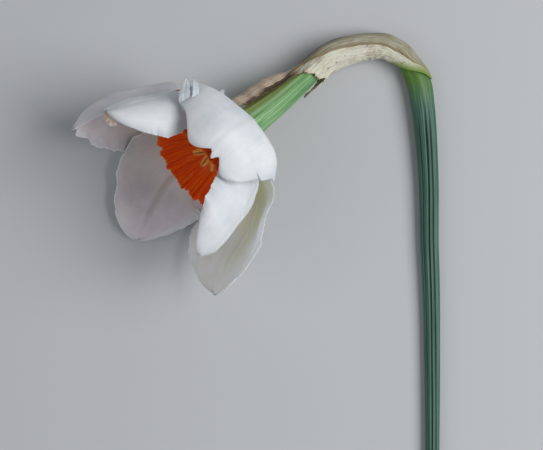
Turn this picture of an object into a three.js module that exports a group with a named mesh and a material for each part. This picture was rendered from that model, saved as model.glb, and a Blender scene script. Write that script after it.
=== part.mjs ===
// A single small-cupped narcissus flower, picked and laid on its side.
//
// Millimetres, +Z up. The cut stem and the lowest petal touch the ground plane z = 0, and the
// origin lies on that plane, under the middle of the whole flower.
//
// The stem, the sheath and the green tube all follow one line, STEM_LINE, from the cut end of the
// stem to the throat of the flower. The petals, the cup and the stamens sit in a frame of their own,
// whose origin is the throat and whose Z axis points out of the cup.

import * as THREE from "three";
import { mergeVertices } from "three/addons/utils/BufferGeometryUtils.js";

// ---------------------------------------------------------------- driving dimensions

// Points of the line from the cut end, along the ground, round the bent neck and up to the throat.
const STEM_LINE = [
  [47.1, -104.2, 1.8],
  [48.2, -55.1, 1.8],
  [48.6, -10.6, 1.8],
  [48.5, 19.4, 1.9],
  [48.2, 34.6, 2.05],
  [47.8, 45.2, 2.2],
  [47.5, 62.3, 2.45],
  [46.5, 77.5, 2.75],
  [45.6, 85.0, 2.95],
  [44.9, 89.2, 3.0],
  [43.4, 92.6, 3.1],
  [39.9, 97.1, 3.8],
  [37.1, 98.8, 4.3],
  [34.7, 99.8, 4.6],
  [30.8, 99.7, 5.0],
  [26.9, 99.1, 5.4],
  [22.0, 97.7, 6.0],
  [17.8, 95.3, 6.7],
  [13.3, 91.0, 7.8],
  [5.3, 83.5, 12.3],
  [-9.2, 72.3, 20.4],
];
const NECK_START = 10; // the point of STEM_LINE where the leafless stem ends and the sheath begins

const CUP_BEARING = 217.7; // the way the cup faces, seen from above, degrees from +X
const CUP_LIFT = 24; // and how far it looks up from the ground, degrees

const CLEARANCE = 0.3; // gap kept between pieces that grow together
const PETAL_THICKNESS = 0.7;
const CUP_THICKNESS = 0.8;
const SHEATH_THICKNESS = 0.45;
const THROAT_RADIUS = 2.9;

const PETAL_LENGTH_STEPS = 16;
const PETAL_WIDTH_STEPS = 10;
const ROWS_TO_TIP = 0.65;
const COLUMNS_TO_MARGIN = 0.85;

// Colours are sRGB, as in a paint chart.
const WHITE_PETAL = 0xeeece6;
const CUP_ORANGE = 0xe0480a;
const ANTHER_GOLD = 0xd9a04a;
const FILAMENT_CREAM = 0xe9dc9c;
const TUBE_GREEN = 0x6f9f63;
const PEDICEL_GREEN = 0x8fb07a;
const STEM_GREEN = 0x4f7f70;
const SHEATH_TAN = 0xcdbf98;

// ---------------------------------------------------------------- materials

function matt(color, roughness) {
  return new THREE.MeshStandardMaterial({ color, roughness, metalness: 0, side: THREE.FrontSide });
}

const petalMaterial = matt(WHITE_PETAL, 0.5);
const cupMaterial = matt(CUP_ORANGE, 0.5);
const antherMaterial = matt(ANTHER_GOLD, 0.8);
const filamentMaterial = matt(FILAMENT_CREAM, 0.5);
const tubeMaterial = matt(TUBE_GREEN, 0.45);
const pedicelMaterial = matt(PEDICEL_GREEN, 0.45);
const stemMaterial = matt(STEM_GREEN, 0.5);
const sheathMaterial = matt(SHEATH_TAN, 0.8);

// ---------------------------------------------------------------- shaping helpers

const degrees = THREE.MathUtils.degToRad;
const { clamp, lerp } = THREE.MathUtils;

/** Joins the split corners of a three.js geometry, so that it is one closed surface. */
function weld(geometry) {
  geometry.deleteAttribute("normal");
  geometry.deleteAttribute("uv");
  const welded = mergeVertices(geometry, 1e-4);
  welded.computeVertexNormals();
  return welded;
}

/** Moves every corner of a geometry to where place(x, y, z) puts it. */
function reshape(geometry, place) {
  const position = geometry.attributes.position;
  for (let i = 0; i < position.count; i += 1) {
    const point = place(position.getX(i), position.getY(i), position.getZ(i));
    position.setXYZ(i, point.x, point.y, point.z);
  }
  return weld(geometry);
}

/** A value that runs smoothly through what it is at the base, the middle and the tip of a petal. */
function alongPetal([base, middle, tip], u) {
  return base * (1 - u) * (1 - 2 * u) + middle * 4 * u * (1 - u) + tip * u * (2 * u - 1);
}

/** A value read off a list of [distance, value] pairs, straight between them. */
function atDistance(pairs, distance) {
  const next = pairs.findIndex(([d]) => d >= distance);
  if (next <= 0) {
    return next === 0 ? pairs[0][1] : pairs[pairs.length - 1][1];
  }
  const [d0, v0] = pairs[next - 1];
  const [d1, v1] = pairs[next];
  return lerp(v0, v1, (distance - d0) / (d1 - d0));
}

// ---------------------------------------------------------------- the line that the stem follows

const stemLine = new THREE.CatmullRomCurve3(
  STEM_LINE.map((point) => new THREE.Vector3(...point)),
  false,
  "catmullrom",
  0.5,
);
stemLine.arcLengthDivisions = 2000;
const STEM_LINE_LENGTH = stemLine.getLength();
const UP = new THREE.Vector3(0, 0, 1);

/** How far along the line its point number n lies, from the cut end. */
function distanceOfPoint(n) {
  const lengths = stemLine.getLengths();
  return lengths[Math.round((n / (STEM_LINE.length - 1)) * stemLine.arcLengthDivisions)];
}

const NECK = distanceOfPoint(NECK_START);

/** A point beside the stem line: so far along it, so far to its side and so far above it. */
function besideLine(distance, side, above) {
  const t = clamp(distance / STEM_LINE_LENGTH, 0, 1);
  const tangent = stemLine.getTangentAt(t);
  const sideways = new THREE.Vector3().crossVectors(tangent, UP).normalize();
  const upwards = new THREE.Vector3().crossVectors(sideways, tangent);
  return stemLine
    .getPointAt(t)
    .addScaledVector(sideways, side)
    .addScaledVector(upwards, above);
}

/**
 * A stalk turned on a lathe and then laid along the stem line. The profile is a list of
 * [radius, distance along the line]; section(angle, distance) gives the stalk's true outline as
 * [width factor, height factor].
 */
function stalk(profile, sides, section) {
  const turned = new THREE.LatheGeometry(
    profile.map(([radius, distance]) => new THREE.Vector2(radius, distance)),
    sides,
  );
  return reshape(turned, (x, distance, z) => {
    const [wide, high] = section(Math.atan2(z, x), distance);
    return besideLine(distance, x * wide, z * high);
  });
}

// ---------------------------------------------------------------- scape: the leafless flower stalk

// The stalk is two-edged and lightly ribbed, hollow at its cut end, and swells where the sheath and
// the flower's own stalk leave it.

const SCAPE_RADIUS = [
  [0, 2.05],
  [95, 2.05],
  [124, 2.2],
  [140, 2.4],
  [151, 2.55],
  [168, 2.85],
  [184, 3.25],
  [192, 3.45],
  [196, 3.4],
  [NECK, 3.1],
];
const SCAPE_RIBS = 8;
const SCAPE_RIB_DEPTH = 0.05;
const SCAPE_HEIGHT = 0.855; // its height as a share of its width
const HOLLOW_RADIUS = 0.8;
const HOLLOW_DEPTH = 8;
const SCAPE_RINGS = 32;

function scapeSection(angle) {
  const rib = 1 - SCAPE_RIB_DEPTH * (0.5 - 0.5 * Math.cos(SCAPE_RIBS * angle));
  return [rib, rib * SCAPE_HEIGHT];
}

function makeScape() {
  const top = NECK - CLEARANCE / 2;
  const profile = [
    [0, HOLLOW_DEPTH],
    [HOLLOW_RADIUS, HOLLOW_DEPTH - 0.5],
    [HOLLOW_RADIUS, 0],
  ];
  for (let i = 0; i <= SCAPE_RINGS; i += 1) {
    const distance = (i / SCAPE_RINGS) * top;
    profile.push([atDistance(SCAPE_RADIUS, distance), distance]);
  }
  profile.push([0, top]);
  return stalk(profile, 16, scapeSection);
}

// ---------------------------------------------------------------- pedicel: the flower's own stalk

const PEDICEL_LENGTH = 17;
const PEDICEL_RADIUS = 1.6;

function makePedicel() {
  const start = NECK + CLEARANCE / 2;
  const rings = 8;
  const profile = [[0, start]];
  for (let i = 0; i <= rings; i += 1) {
    profile.push([PEDICEL_RADIUS, start + (i / rings) * PEDICEL_LENGTH]);
  }
  profile.push([0, start + PEDICEL_LENGTH]);
  return stalk(profile, 8, () => [1, 1]);
}

// ---------------------------------------------------------------- floral tube, with the seed chamber at its foot

// Radii against the distance from the foot of the seed chamber. The chamber is the swelling that the
// sheath hides. The tube then widens into the petals. Its bore is open at the throat.

const CHAMBER_START = NECK + PEDICEL_LENGTH + CLEARANCE * 1.5;
const TUBE_END = STEM_LINE_LENGTH - 2.0;
const TUBE_RADIUS = [
  [0, 1.7],
  [3, 2.6],
  [7, 3.1],
  [11, 3.0],
  [15, 2.95],
  [19, 3.4],
  [27, 3.9],
  [36, 4.5],
  [43, 5.0],
  [46.5, 5.1],
];
const BORE = [
  [THROAT_RADIUS, 0],
  [THROAT_RADIUS - 0.1, 4],
  [2.5, 12],
  [1.6, 24],
  [0, 26],
];
const TUBE_RIBS = 6;
const TUBE_RIB_DEPTH = 0.06;

function makeFloralTube() {
  const profile = [[0, CHAMBER_START]];
  const length = TUBE_END - CHAMBER_START;
  const rings = 16;
  for (let i = 0; i <= rings; i += 1) {
    const along = (i / rings) * length;
    profile.push([atDistance(TUBE_RADIUS, along), CHAMBER_START + along]);
  }
  for (const [radius, depth] of BORE) {
    profile.push([radius, TUBE_END - depth]);
  }
  return stalk(profile, 14, (angle) => {
    const rib = 1 - TUBE_RIB_DEPTH * (0.5 - 0.5 * Math.cos(TUBE_RIBS * angle));
    return [rib, rib];
  });
}

// ---------------------------------------------------------------- spathe: the papery sheath

// A dry bract wrapped round the neck, open along its underside, with a torn mouth. One strip of it
// runs on past the mouth as a pointed tongue that lies along the upper edge of the green tube.

const SHEATH_RADIUS = [
  [0, 2.75],
  [4, 2.95],
  [8, 3.25],
  [14, 3.75],
  [20, 3.95],
  [27, 4.15],
  [33, 4.05],
  [37, 4.1],
  [44, 4.65],
  [52, 5.25],
  [58, 5.7],
];
const SHEATH_LENGTH = 34;
const SHEATH_WRAP = 165; // how far it reaches round either side, degrees from the middle of its back
const TONGUE_LENGTH = 22;
const TONGUE_TURN = 62; // the tongue's place round the sheath, degrees from its back
const TONGUE_WIDTH = 24; // degrees

function sheathLength(turn) {
  const tongue = Math.exp(-(((turn - TONGUE_TURN) / TONGUE_WIDTH) ** 2));
  const flap = 4 * Math.exp(-(((turn + 120) / 22) ** 2));
  const torn = 0.5 * Math.sin(degrees(turn * 7)) + 0.35 * Math.sin(degrees(turn * 13 + 40));
  return SHEATH_LENGTH + TONGUE_LENGTH * tongue + flap + torn;
}

function makeSpathe() {
  const sheet = new THREE.BoxGeometry(1, 1, 1, 18, 16, 1);
  const start = NECK + CLEARANCE / 2;
  return reshape(sheet, (x, y, z) => {
    const turn = -y * 2 * SHEATH_WRAP;
    const distance = (x + 0.5) * sheathLength(turn);
    const radius = atDistance(SHEATH_RADIUS, distance) + z * SHEATH_THICKNESS;
    // Turn 0 is the back of the sheath, the side away from the ground.
    const angle = degrees(turn);
    return besideLine(start + distance, Math.sin(angle) * radius, Math.cos(angle) * radius);
  });
}

// ---------------------------------------------------------------- tepals: the six white petals

// Each petal grows from the rim of the throat. In the flower's own frame:
//   bearing   the petal's place round the axis, degrees
//   midrib    [distance out from the axis, height above the throat, swing from the bearing]
//   halfWidth how far the blade reaches from the midrib at its widest, [left, right]
//   curl      how far the blade has turned inward between midrib and margin, degrees, given at the
//             base, the middle and the tip, for the left and for the right half
//   rim       the same for the outermost third of the blade alone; below zero it rolls back
//   widest    where each half reaches its full width, as a share of the length
//   shoulder  where each half starts to narrow
//   fullness  how square each shoulder is, and roundness how blunt its end
//   blunt     the width left at the very end
//   ends      how much of the length is grown, at even steps from the left to the right margin
//   pulls     dents and bulges: [length, side, how long, how wide, [push across, up, out]]

const PETALS = {
  outer_tepal_1: {
    bearing: 244,
    midrib: [
      [4, -1.2, 0],
      [18.5, -2.2, 8],
      [25.5, 6.5, 13],
      [29, 16.5, 16],
      [29.8, 25, 16],
      [28.1, 30.7, 14],
    ],
    halfWidth: [25, 13],
    curl: [[10, 45, 45], [5, 72, 88]],
    shoulder: [0.3, 0.45],
    fullness: [1.8, 2],
    roundness: [0.7, 0.6],
  },
  outer_tepal_2: {
    bearing: 2,
    midrib: [
      [4, -1.2, 0],
      [13, -1.8, 0],
      [19.8, -1, 0],
      [23.9, 3.2, 0],
      [24.9, 9.3, 0],
      [22.3, 15.3, 2.5],
      [18.3, 18.2, 5],
    ],
    halfWidth: [20, 18.8],
    curl: [[5, 50, 46], [5, 36, 36]],
    rim: [[0, 0, 0], [0, -40, -40]],
    widest: [0.5, 0.4],
    shoulder: [0.5, 0.5],
    fullness: [4, 4],
    roundness: [0.5, 0.5],
    blunt: 0.75,
    ends: [
      0.62, 0.745, 0.77, 0.8, 0.855, 0.932, 0.932, 0.902, 0.862,
      0.862, 0.905, 0.95, 0.93, 0.86, 0.76, 0.58, 0.3,
    ],
    pulls: [
      [0.33, 0.54, 0.2, 0.2, [1.45, 0.8, -1.7]],
      [0.4, 1, 0.2, 0.2, [-2.6, -0.4, 0.8]],
    ],
  },
  outer_tepal_3: {
    bearing: 112,
    midrib: [
      [4, -1.2, 0],
      [12.9, -2.2, 0],
      [18.9, -0.8, 0],
      [24, 5.8, 0],
      [28.5, 15.3, 0],
      [33, 24.9, 0],
    ],
    halfWidth: [17.5, 20],
    curl: [[5, 38, 40], [10, 33, 38]],
    rim: [[0, -60, -10], [0, 0, 0]],
    widest: [0.7, 0.45],
    shoulder: [0.6, 0.45],
    fullness: [6, 2],
    roundness: [0.5, 0.6],
  },
  inner_tepal_1: {
    bearing: 300,
    midrib: [
      [4, 0, 0],
      [14, 2, 0],
      [20, 6, 0],
      [23.5, 13, 0],
      [26, 18.9, 0],
      [27.4, 26.9, -2],
    ],
    halfWidth: [10, 16],
    curl: [[10, 60, 60], [10, 95, 75]],
    widest: [0.5, 0.72],
  },
  inner_tepal_2: {
    bearing: 70,
    midrib: [
      [4, 0, 0],
      [15, 1.8, 0],
      [21, 11.6, 0],
      [23.4, 21.3, 0],
      [21.9, 27.9, 2],
    ],
    halfWidth: [19.5, 11],
    curl: [[10, 71, 54], [10, 55, 55]],
    shoulder: [0.6, 0.45],
    fullness: [2.6, 2],
  },
  inner_tepal_3: {
    bearing: 183,
    midrib: [
      [4, 0, 0],
      [15, 1, 2],
      [25, 8.8, 2],
      [29, 16.3, -5],
      [31.5, 25.3, -13],
    ],
    halfWidth: [16.5, 15.2],
    curl: [[10, 37, 40], [10, 48, 44]],
    rim: [[0, -30, -110], [0, 0, 0]],
    fullness: [1.9, 2.8],
    roundness: [0.65, 0.5],
  },
};
const PETAL_CLAW = 0.14; // width at the very base, as a share of the widest
const PETAL_THINNING = 0.4; // the share of its thickness that the blade loses by its margin
const RIM_START = 0.7; // the outer part of the blade that rim turns

/** A direction square to the flower's axis, at a bearing round it. */
function outward(bearing) {
  return new THREE.Vector3(Math.sin(degrees(bearing)), Math.cos(degrees(bearing)), 0);
}

function petalHalfWidth(petal, half, u) {
  const { blunt = 0.04, widest = [0.5, 0.5], shoulder = [0.45, 0.45] } = petal;
  const { fullness = [2, 2], roundness = [0.55, 0.55] } = petal;
  const opening = Math.sin((Math.PI / 2) * Math.min(1, u / widest[half])) ** 1.2;
  const past = clamp((u - shoulder[half]) / (1 - shoulder[half]), 0, 1);
  const closing = Math.max(1 - past ** fullness[half], 0) ** roundness[half];
  const base = PETAL_CLAW + (1 - PETAL_CLAW) * opening;
  return petal.halfWidth[half] * base * (blunt + (1 - blunt) * closing);
}

/** A function that gives the point of a petal at length 0..1, side -1..1 and depth -0.5..0.5. */
function petalSurface(petal) {
  const midrib = new THREE.CatmullRomCurve3(
    petal.midrib.map(([out, height, swing]) =>
      outward(petal.bearing + swing).multiplyScalar(out).setZ(height),
    ),
    false,
    "catmullrom",
    0.5,
  );
  const { ends = [1, 1, 1], pulls = [], rim = [[0, 0, 0], [0, 0, 0]] } = petal;
  const grown = new THREE.SplineCurve(ends.map((end, i) => new THREE.Vector2(i, end)));
  const slices = 12;

  return (length, side, depth) => {
    const reach = Math.abs(side);
    const half = side < 0 ? 0 : 1;
    const u = length * grown.getPoint((side + 1) / 2).y;
    const centre = midrib.getPointAt(u);
    const forward = midrib.getTangentAt(u);
    const bearing = Math.atan2(centre.x, centre.y);
    const across = new THREE.Vector3(Math.cos(bearing), -Math.sin(bearing), 0);
    across.addScaledVector(forward, -across.dot(forward)).normalize();
    const outside = new THREE.Vector3().crossVectors(forward, across);

    // Walk from the midrib towards the margin, turning inward on the way.
    const width = petalHalfWidth(petal, half, u);
    const curl = degrees(alongPetal(petal.curl[half], u));
    const roll = degrees(alongPetal(rim[half], u));
    const turned = (x) => curl * x + roll * clamp((x - RIM_START) / (1 - RIM_START), 0, 1) ** 2;
    let sideways = 0;
    let inward = 0;
    for (let i = 0; i < slices; i += 1) {
      const angle = turned(((i + 0.5) / slices) * reach);
      sideways += (Math.cos(angle) / slices) * reach * width;
      inward += (Math.sin(angle) / slices) * reach * width;
    }
    const hand = half === 0 ? -1 : 1;
    const angle = turned(reach);
    const thickness = PETAL_THICKNESS * (1 - PETAL_THINNING * reach ** 2) * depth;
    const point = centre
      .addScaledVector(across, hand * (sideways + Math.sin(angle) * thickness))
      .addScaledVector(outside, -inward + Math.cos(angle) * thickness);
    for (const [atLength, atSide, long, wide, push] of pulls) {
      const share = Math.exp(-(((u - atLength) / long) ** 2) - ((side - atSide) / wide) ** 2);
      point.addScaledVector(new THREE.Vector3(...push), share);
    }
    return point;
  };
}

function makePetal(petal) {
  const sheet = new THREE.BoxGeometry(1, 1, 1, PETAL_LENGTH_STEPS, PETAL_WIDTH_STEPS, 1);
  const surface = petalSurface(petal);
  return reshape(sheet, (x, y, z) => {
    // Rows crowd towards the tip, where the outline turns fastest, and columns towards the margins.
    const even = x + 0.5;
    const length = lerp(even, Math.sin((even * Math.PI) / 2), ROWS_TO_TIP);
    const side = Math.sign(y) * Math.abs(2 * y) ** COLUMNS_TO_MARGIN;
    return surface(length, side, z);
  });
}

// ---------------------------------------------------------------- corona: the frilled orange cup

const CUP_PROFILE = [
  [3.3, -1.55],
  [3.3, 0.7],
  [5.5, 2.2],
  [8.5, 4.9],
  [11.0, 8.5],
  [13.2, 12.0],
];
const CUP_SEGMENTS = 64;
const CUP_FRILLS = 16;
const CUP_FRILL_DEPTH = 0.5;
const CUP_EDGE_WAVES = 11;
const CUP_EDGE_DEPTH = 0.6;

function makeCorona() {
  const line = new THREE.SplineCurve(CUP_PROFILE.map(([r, h]) => new THREE.Vector2(r, h)));
  const rings = 5;
  const outside = [];
  const inside = [];
  for (let i = 0; i <= rings; i += 1) {
    const point = line.getPoint(i / rings);
    const tangent = line.getTangent(i / rings);
    const normal = new THREE.Vector2(tangent.y, -tangent.x).multiplyScalar(CUP_THICKNESS / 2);
    outside.push(point.clone().add(normal));
    inside.unshift(point.clone().sub(normal));
  }
  const turned = new THREE.LatheGeometry([...outside, ...inside, outside[0]], CUP_SEGMENTS);
  return reshape(turned, (x, height, z) => {
    const radius = Math.hypot(x, z);
    const angle = Math.atan2(z, x);
    const frill = clamp(height / CUP_PROFILE[CUP_PROFILE.length - 1][1], 0, 1) ** 2;
    const out = radius + frill * CUP_FRILL_DEPTH * Math.cos(CUP_FRILLS * angle);
    const lift = frill ** 3 * CUP_EDGE_DEPTH * Math.cos(CUP_EDGE_WAVES * angle);
    return new THREE.Vector3(Math.cos(angle) * out, -Math.sin(angle) * out, height + lift);
  });
}

// ---------------------------------------------------------------- stamens and style

// Six stamens in two sets of three grow from the tube's inner wall, one set rooted deeper than the
// other. Their pollen sacs fan out as one ring above the throat, round the lower central style.

const ANTHER_LENGTH = 4;
const ANTHER_WIDTH = 1.35;
const FILAMENT_RADIUS = 0.3;
const UPPER_STAMENS = { first: 162, root: [1.95, -8], top: [1.35, 4.3], anther: [2.7, 6.1], lean: 48 };
const LOWER_STAMENS = { first: 222, root: [1.8, -12], top: [1.35, 4.3], anther: [2.7, 6.1], lean: 48 };

function makeFilament(stamens) {
  const outline = new THREE.Shape();
  outline.absarc(0, 0, FILAMENT_RADIUS, 0, 2 * Math.PI);
  const [rootOut, rootHeight] = stamens.root;
  const [topOut, topHeight] = stamens.top;
  const path = new THREE.CatmullRomCurve3([
    new THREE.Vector3(0, rootOut, rootHeight),
    new THREE.Vector3(0, (rootOut + topOut) / 2, (rootHeight + topHeight) / 2),
    new THREE.Vector3(0, topOut, topHeight),
  ]);
  const options = { steps: 4, curveSegments: 3, extrudePath: path };
  return weld(new THREE.ExtrudeGeometry(outline, options));
}

function makeAnther(stamens) {
  const sac = new THREE.SphereGeometry(0.5, 10, 8);
  sac.scale(ANTHER_WIDTH, ANTHER_WIDTH * 0.8, ANTHER_LENGTH);
  sac.rotateX(-degrees(stamens.lean));
  const [out, height] = stamens.anther;
  sac.translate(0, out, height);
  return weld(sac);
}

const STYLE_FOOT = -26.4;
const STYLE_RADIUS = 0.4;
const STIGMA_RADIUS = 0.85;
const STIGMA_HEIGHT = 2.2;

function makeStyle() {
  const profile = [
    [0, STYLE_FOOT],
    [STYLE_RADIUS, STYLE_FOOT],
    [STYLE_RADIUS, STIGMA_HEIGHT - 1.4],
    [STIGMA_RADIUS, STIGMA_HEIGHT - 0.4],
    [STIGMA_RADIUS * 0.7, STIGMA_HEIGHT],
    [0, STIGMA_HEIGHT],
  ];
  const turned = new THREE.LatheGeometry(profile.map(([r, h]) => new THREE.Vector2(r, h)), 12);
  turned.rotateX(Math.PI / 2);
  return weld(turned);
}

// ---------------------------------------------------------------- assembly

const flower = new THREE.Group();
flower.name = "narcissus_flower";

function addPiece(group, name, geometry, material) {
  const mesh = new THREE.Mesh(geometry, material);
  mesh.name = name;
  group.add(mesh);
  return mesh;
}

addPiece(flower, "scape", makeScape(), stemMaterial);
addPiece(flower, "pedicel", makePedicel(), pedicelMaterial);
addPiece(flower, "floral_tube", makeFloralTube(), tubeMaterial);
addPiece(flower, "spathe", makeSpathe(), sheathMaterial);

// The flower's head: its Z axis points out of the cup, its Y axis up and its X axis to the side.
const head = new THREE.Group();
const [throatX, throatY, throatZ] = STEM_LINE[STEM_LINE.length - 1];
head.position.set(throatX, throatY, throatZ);
const cupAxis = new THREE.Vector3(
  Math.cos(degrees(CUP_LIFT)) * Math.cos(degrees(CUP_BEARING)),
  Math.cos(degrees(CUP_LIFT)) * Math.sin(degrees(CUP_BEARING)),
  Math.sin(degrees(CUP_LIFT)),
);
const sideAxis = new THREE.Vector3().crossVectors(UP, cupAxis).normalize();
const topAxis = new THREE.Vector3().crossVectors(cupAxis, sideAxis);
head.quaternion.setFromRotationMatrix(new THREE.Matrix4().makeBasis(sideAxis, topAxis, cupAxis));
flower.add(head);

for (const [name, petal] of Object.entries(PETALS)) {
  addPiece(head, name, makePetal(petal), petalMaterial);
}
addPiece(head, "corona", makeCorona(), cupMaterial);
addPiece(head, "style", makeStyle(), filamentMaterial);

for (const [set, stamens] of [[1, UPPER_STAMENS], [4, LOWER_STAMENS]]) {
  for (let i = 0; i < 3; i += 1) {
    const turn = -degrees(stamens.first + 120 * i);
    const filament = addPiece(head, `filament_${set + i}`, makeFilament(stamens), filamentMaterial);
    const anther = addPiece(head, `anther_${set + i}`, makeAnther(stamens), antherMaterial);
    filament.rotation.z = turn;
    anther.rotation.z = turn;
  }
}

export default flower;
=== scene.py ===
import math

import bpy
import numpy as np
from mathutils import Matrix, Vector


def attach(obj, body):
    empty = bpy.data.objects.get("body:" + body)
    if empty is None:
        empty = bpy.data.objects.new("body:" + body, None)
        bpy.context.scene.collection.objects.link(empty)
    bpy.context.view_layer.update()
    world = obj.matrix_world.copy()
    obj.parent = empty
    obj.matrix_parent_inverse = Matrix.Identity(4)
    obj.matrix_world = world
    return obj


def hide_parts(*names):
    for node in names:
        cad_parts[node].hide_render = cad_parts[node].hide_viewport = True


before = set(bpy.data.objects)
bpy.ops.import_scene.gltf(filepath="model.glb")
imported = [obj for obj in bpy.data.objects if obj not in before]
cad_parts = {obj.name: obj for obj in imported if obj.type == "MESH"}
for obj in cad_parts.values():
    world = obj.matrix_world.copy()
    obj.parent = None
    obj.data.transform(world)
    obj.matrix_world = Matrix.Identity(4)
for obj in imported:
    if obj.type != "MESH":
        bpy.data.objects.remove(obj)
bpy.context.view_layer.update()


# ---------------- scape: the leafless flower stalk
# The stalk is one solid grown piece, two-edged and ribbed, with a waxy blue-green skin. It was cut
# square at its foot, where it is hollow, and swells into a paler node under the sheath. It lies on
# the ground along its whole length, and every part up to the throat follows the same line.

MM = 0.001

# The line that the stem follows, from its cut foot to the throat of the flower.
STEM_LINE = [
    (47.1, -104.2, 1.8), (48.2, -55.1, 1.8), (48.6, -10.6, 1.8), (48.5, 19.4, 1.9),
    (48.2, 34.6, 2.05), (47.8, 45.2, 2.2), (47.5, 62.3, 2.45), (46.5, 77.5, 2.75),
    (45.6, 85.0, 2.95), (44.9, 89.2, 3.0), (43.4, 92.6, 3.1), (39.9, 97.1, 3.8), (37.1, 98.8, 4.3),
    (34.7, 99.8, 4.6), (30.8, 99.7, 5.0), (26.9, 99.1, 5.4), (22.0, 97.7, 6.0), (17.8, 95.3, 6.7),
    (13.3, 91.0, 7.8), (5.3, 83.5, 12.3), (-9.2, 72.3, 20.4),
]
# The point of the line where the stalk ends and the sheathed neck starts.
SCAPE_TOP_POINT = 10


def curve_through(points):
    """A smooth curve through the points. Returns what reads it by distance, and each point's distance."""
    given = np.array(points, float)
    given = np.vstack([2 * given[0] - given[1], given, 2 * given[-1] - given[-2]])
    fineness = 60
    t = np.linspace(0, 1, fineness, endpoint=False)[:, None]
    runs = []
    for a, b, c, d in zip(given, given[1:], given[2:], given[3:]):
        square = 2 * a - 5 * b + 4 * c - d
        cube = 3 * b - a - 3 * c + d
        runs.append(0.5 * (2 * b + (c - a) * t + square * t**2 + cube * t**3))
    fine = np.vstack(runs + [given[-2:-1]])
    steps = np.linalg.norm(np.diff(fine, axis=0), axis=1)
    distances = np.concatenate([[0], np.cumsum(steps)])

    def read(distance):
        return np.stack([np.interp(distance, distances, axis) for axis in fine.T], -1)

    return read, distances[::fineness]


stem_at, stem_distances = curve_through(STEM_LINE)
NECK = stem_distances[SCAPE_TOP_POINT]
STEM_END = stem_distances[-1]


def unit(vectors):
    return vectors / np.linalg.norm(vectors, axis=-1, keepdims=True)


def beside_stem(distance, side, above):
    """Points beside the stem line: so far along it, so far to its side and so far above it."""
    distance = np.asarray(distance, float)
    near = 0.6
    tangent = unit(stem_at(distance + near) - stem_at(distance - near))
    sideways = unit(np.cross(tangent, (0, 0, 1)))
    upwards = np.cross(sideways, tangent)
    end = np.where(distance > STEM_END, distance - STEM_END, 0)[..., None]
    return stem_at(distance) + tangent * end + sideways * side[..., None] + upwards * above[..., None]


def shaped_grid(name, along_steps, across_steps, place):
    """A flat grid whose corners are moved to where place(along, across) puts them, both 0 to 1."""
    bpy.ops.object.select_all(action="DESELECT")
    bpy.ops.mesh.primitive_grid_add(
        x_subdivisions=along_steps, y_subdivisions=across_steps, size=1, calc_uvs=True
    )
    piece = bpy.context.object
    piece.name = name
    piece.data.name = name
    flat = np.zeros(len(piece.data.vertices) * 3)
    piece.data.vertices.foreach_get("co", flat)
    flat = flat.reshape(-1, 3) + 0.5
    spots = place(flat[:, 0], flat[:, 1]) * MM
    piece.data.vertices.foreach_set("co", spots.ravel())
    piece.data.update()
    return piece


def join_edges(closed=True):
    """Joins the edges of the grid just rolled up, and points the faces outwards if it is closed."""
    bpy.ops.object.mode_set(mode="EDIT")
    bpy.ops.mesh.select_all(action="SELECT")
    bpy.ops.mesh.remove_doubles(threshold=0.01 * MM)
    if closed:
        bpy.ops.mesh.normals_make_consistent(inside=False)
    bpy.ops.object.mode_set(mode="OBJECT")
    bpy.ops.object.shade_smooth()


def corner_shares(along_steps, across_steps):
    """How far along and across such a grid each of its corners is, both 0 to 1."""
    rows, columns = np.linspace(0, 1, along_steps + 1), np.linspace(0, 1, across_steps + 1)
    return [shares.ravel() for shares in np.meshgrid(rows, columns)]


def note_on_corners(piece, name, values):
    """Keeps one number for each corner of the piece, for its material to read."""
    kept = piece.data.attributes.new(name, "FLOAT", "POINT")
    kept.data.foreach_set("value", np.asarray(values, np.float32))


def paint(hex_colour):
    """An sRGB colour, as in a paint chart, as the linear values that a shader takes."""
    parts = [int(hex_colour[k : k + 2], 16) / 255 for k in (1, 3, 5)]
    return tuple(p / 12.92 if p <= 0.04045 else ((p + 0.055) / 1.055) ** 2.4 for p in parts) + (1,)


def add_node(material, kind, sockets=None, stops=None, **settings):
    """Adds a node with its settings, what its sockets hold or are fed by, and a ramp's colours.

    A socket is fed by one output or by a node, which gives its first output in use. A text is an
    sRGB colour.
    """
    node = material.node_tree.nodes.new("ShaderNode" + kind)
    for name, value in settings.items():
        setattr(node, name, value)
    for name, value in (sockets or {}).items():
        if isinstance(value, str):
            value = paint(value)
        if isinstance(value, bpy.types.Node):
            value = next(output for output in value.outputs if output.enabled)
        if isinstance(value, bpy.types.NodeSocket):
            material.node_tree.links.new(value, node.inputs[name])
        else:
            node.inputs[name].default_value = value
    for number, (position, colour) in enumerate(stops or []):
        elements = node.color_ramp.elements
        element = elements[number] if number < 2 else elements.new(position)
        element.position = position
        element.color = paint(colour)
    return node


def new_material(name):
    material = bpy.data.materials.new(name)
    material.use_nodes = True
    material.node_tree.nodes.clear()
    return material


def streaks_along(material, scale, **noise):
    """Fine streaks that run along the piece. The scale is how many fit along it and across it."""
    sheet = add_node(material, "UVMap", uv_map="UVMap")
    place = add_node(material, "Mapping", {"Vector": sheet, "Scale": (*scale, 1)})
    return add_node(material, "TexNoise", {"Vector": place, "Scale": 1.0, **noise})


def mottling(material, scale, **noise):
    """Uneven spots all over the piece. The scale is how many fit into a metre."""
    where = add_node(material, "TexCoord").outputs["Object"]
    return add_node(material, "TexNoise", {"Vector": where, "Scale": scale, **noise})


def finish_material(material, sockets):
    """Ends a material with its surface, whose sockets are given, and its output."""
    surface = add_node(material, "BsdfPrincipled", sockets)
    add_node(material, "OutputMaterial", {"Surface": surface})


def grown_as(piece, node, slot, *materials):
    """Gives the piece its materials, hangs it on the root body and hides the modelled solid that it stands
    for. Its finish, the slot, is not used.
    """
    for material in materials:
        piece.data.materials.append(material)
    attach(piece, "root")
    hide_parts(node)


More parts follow.
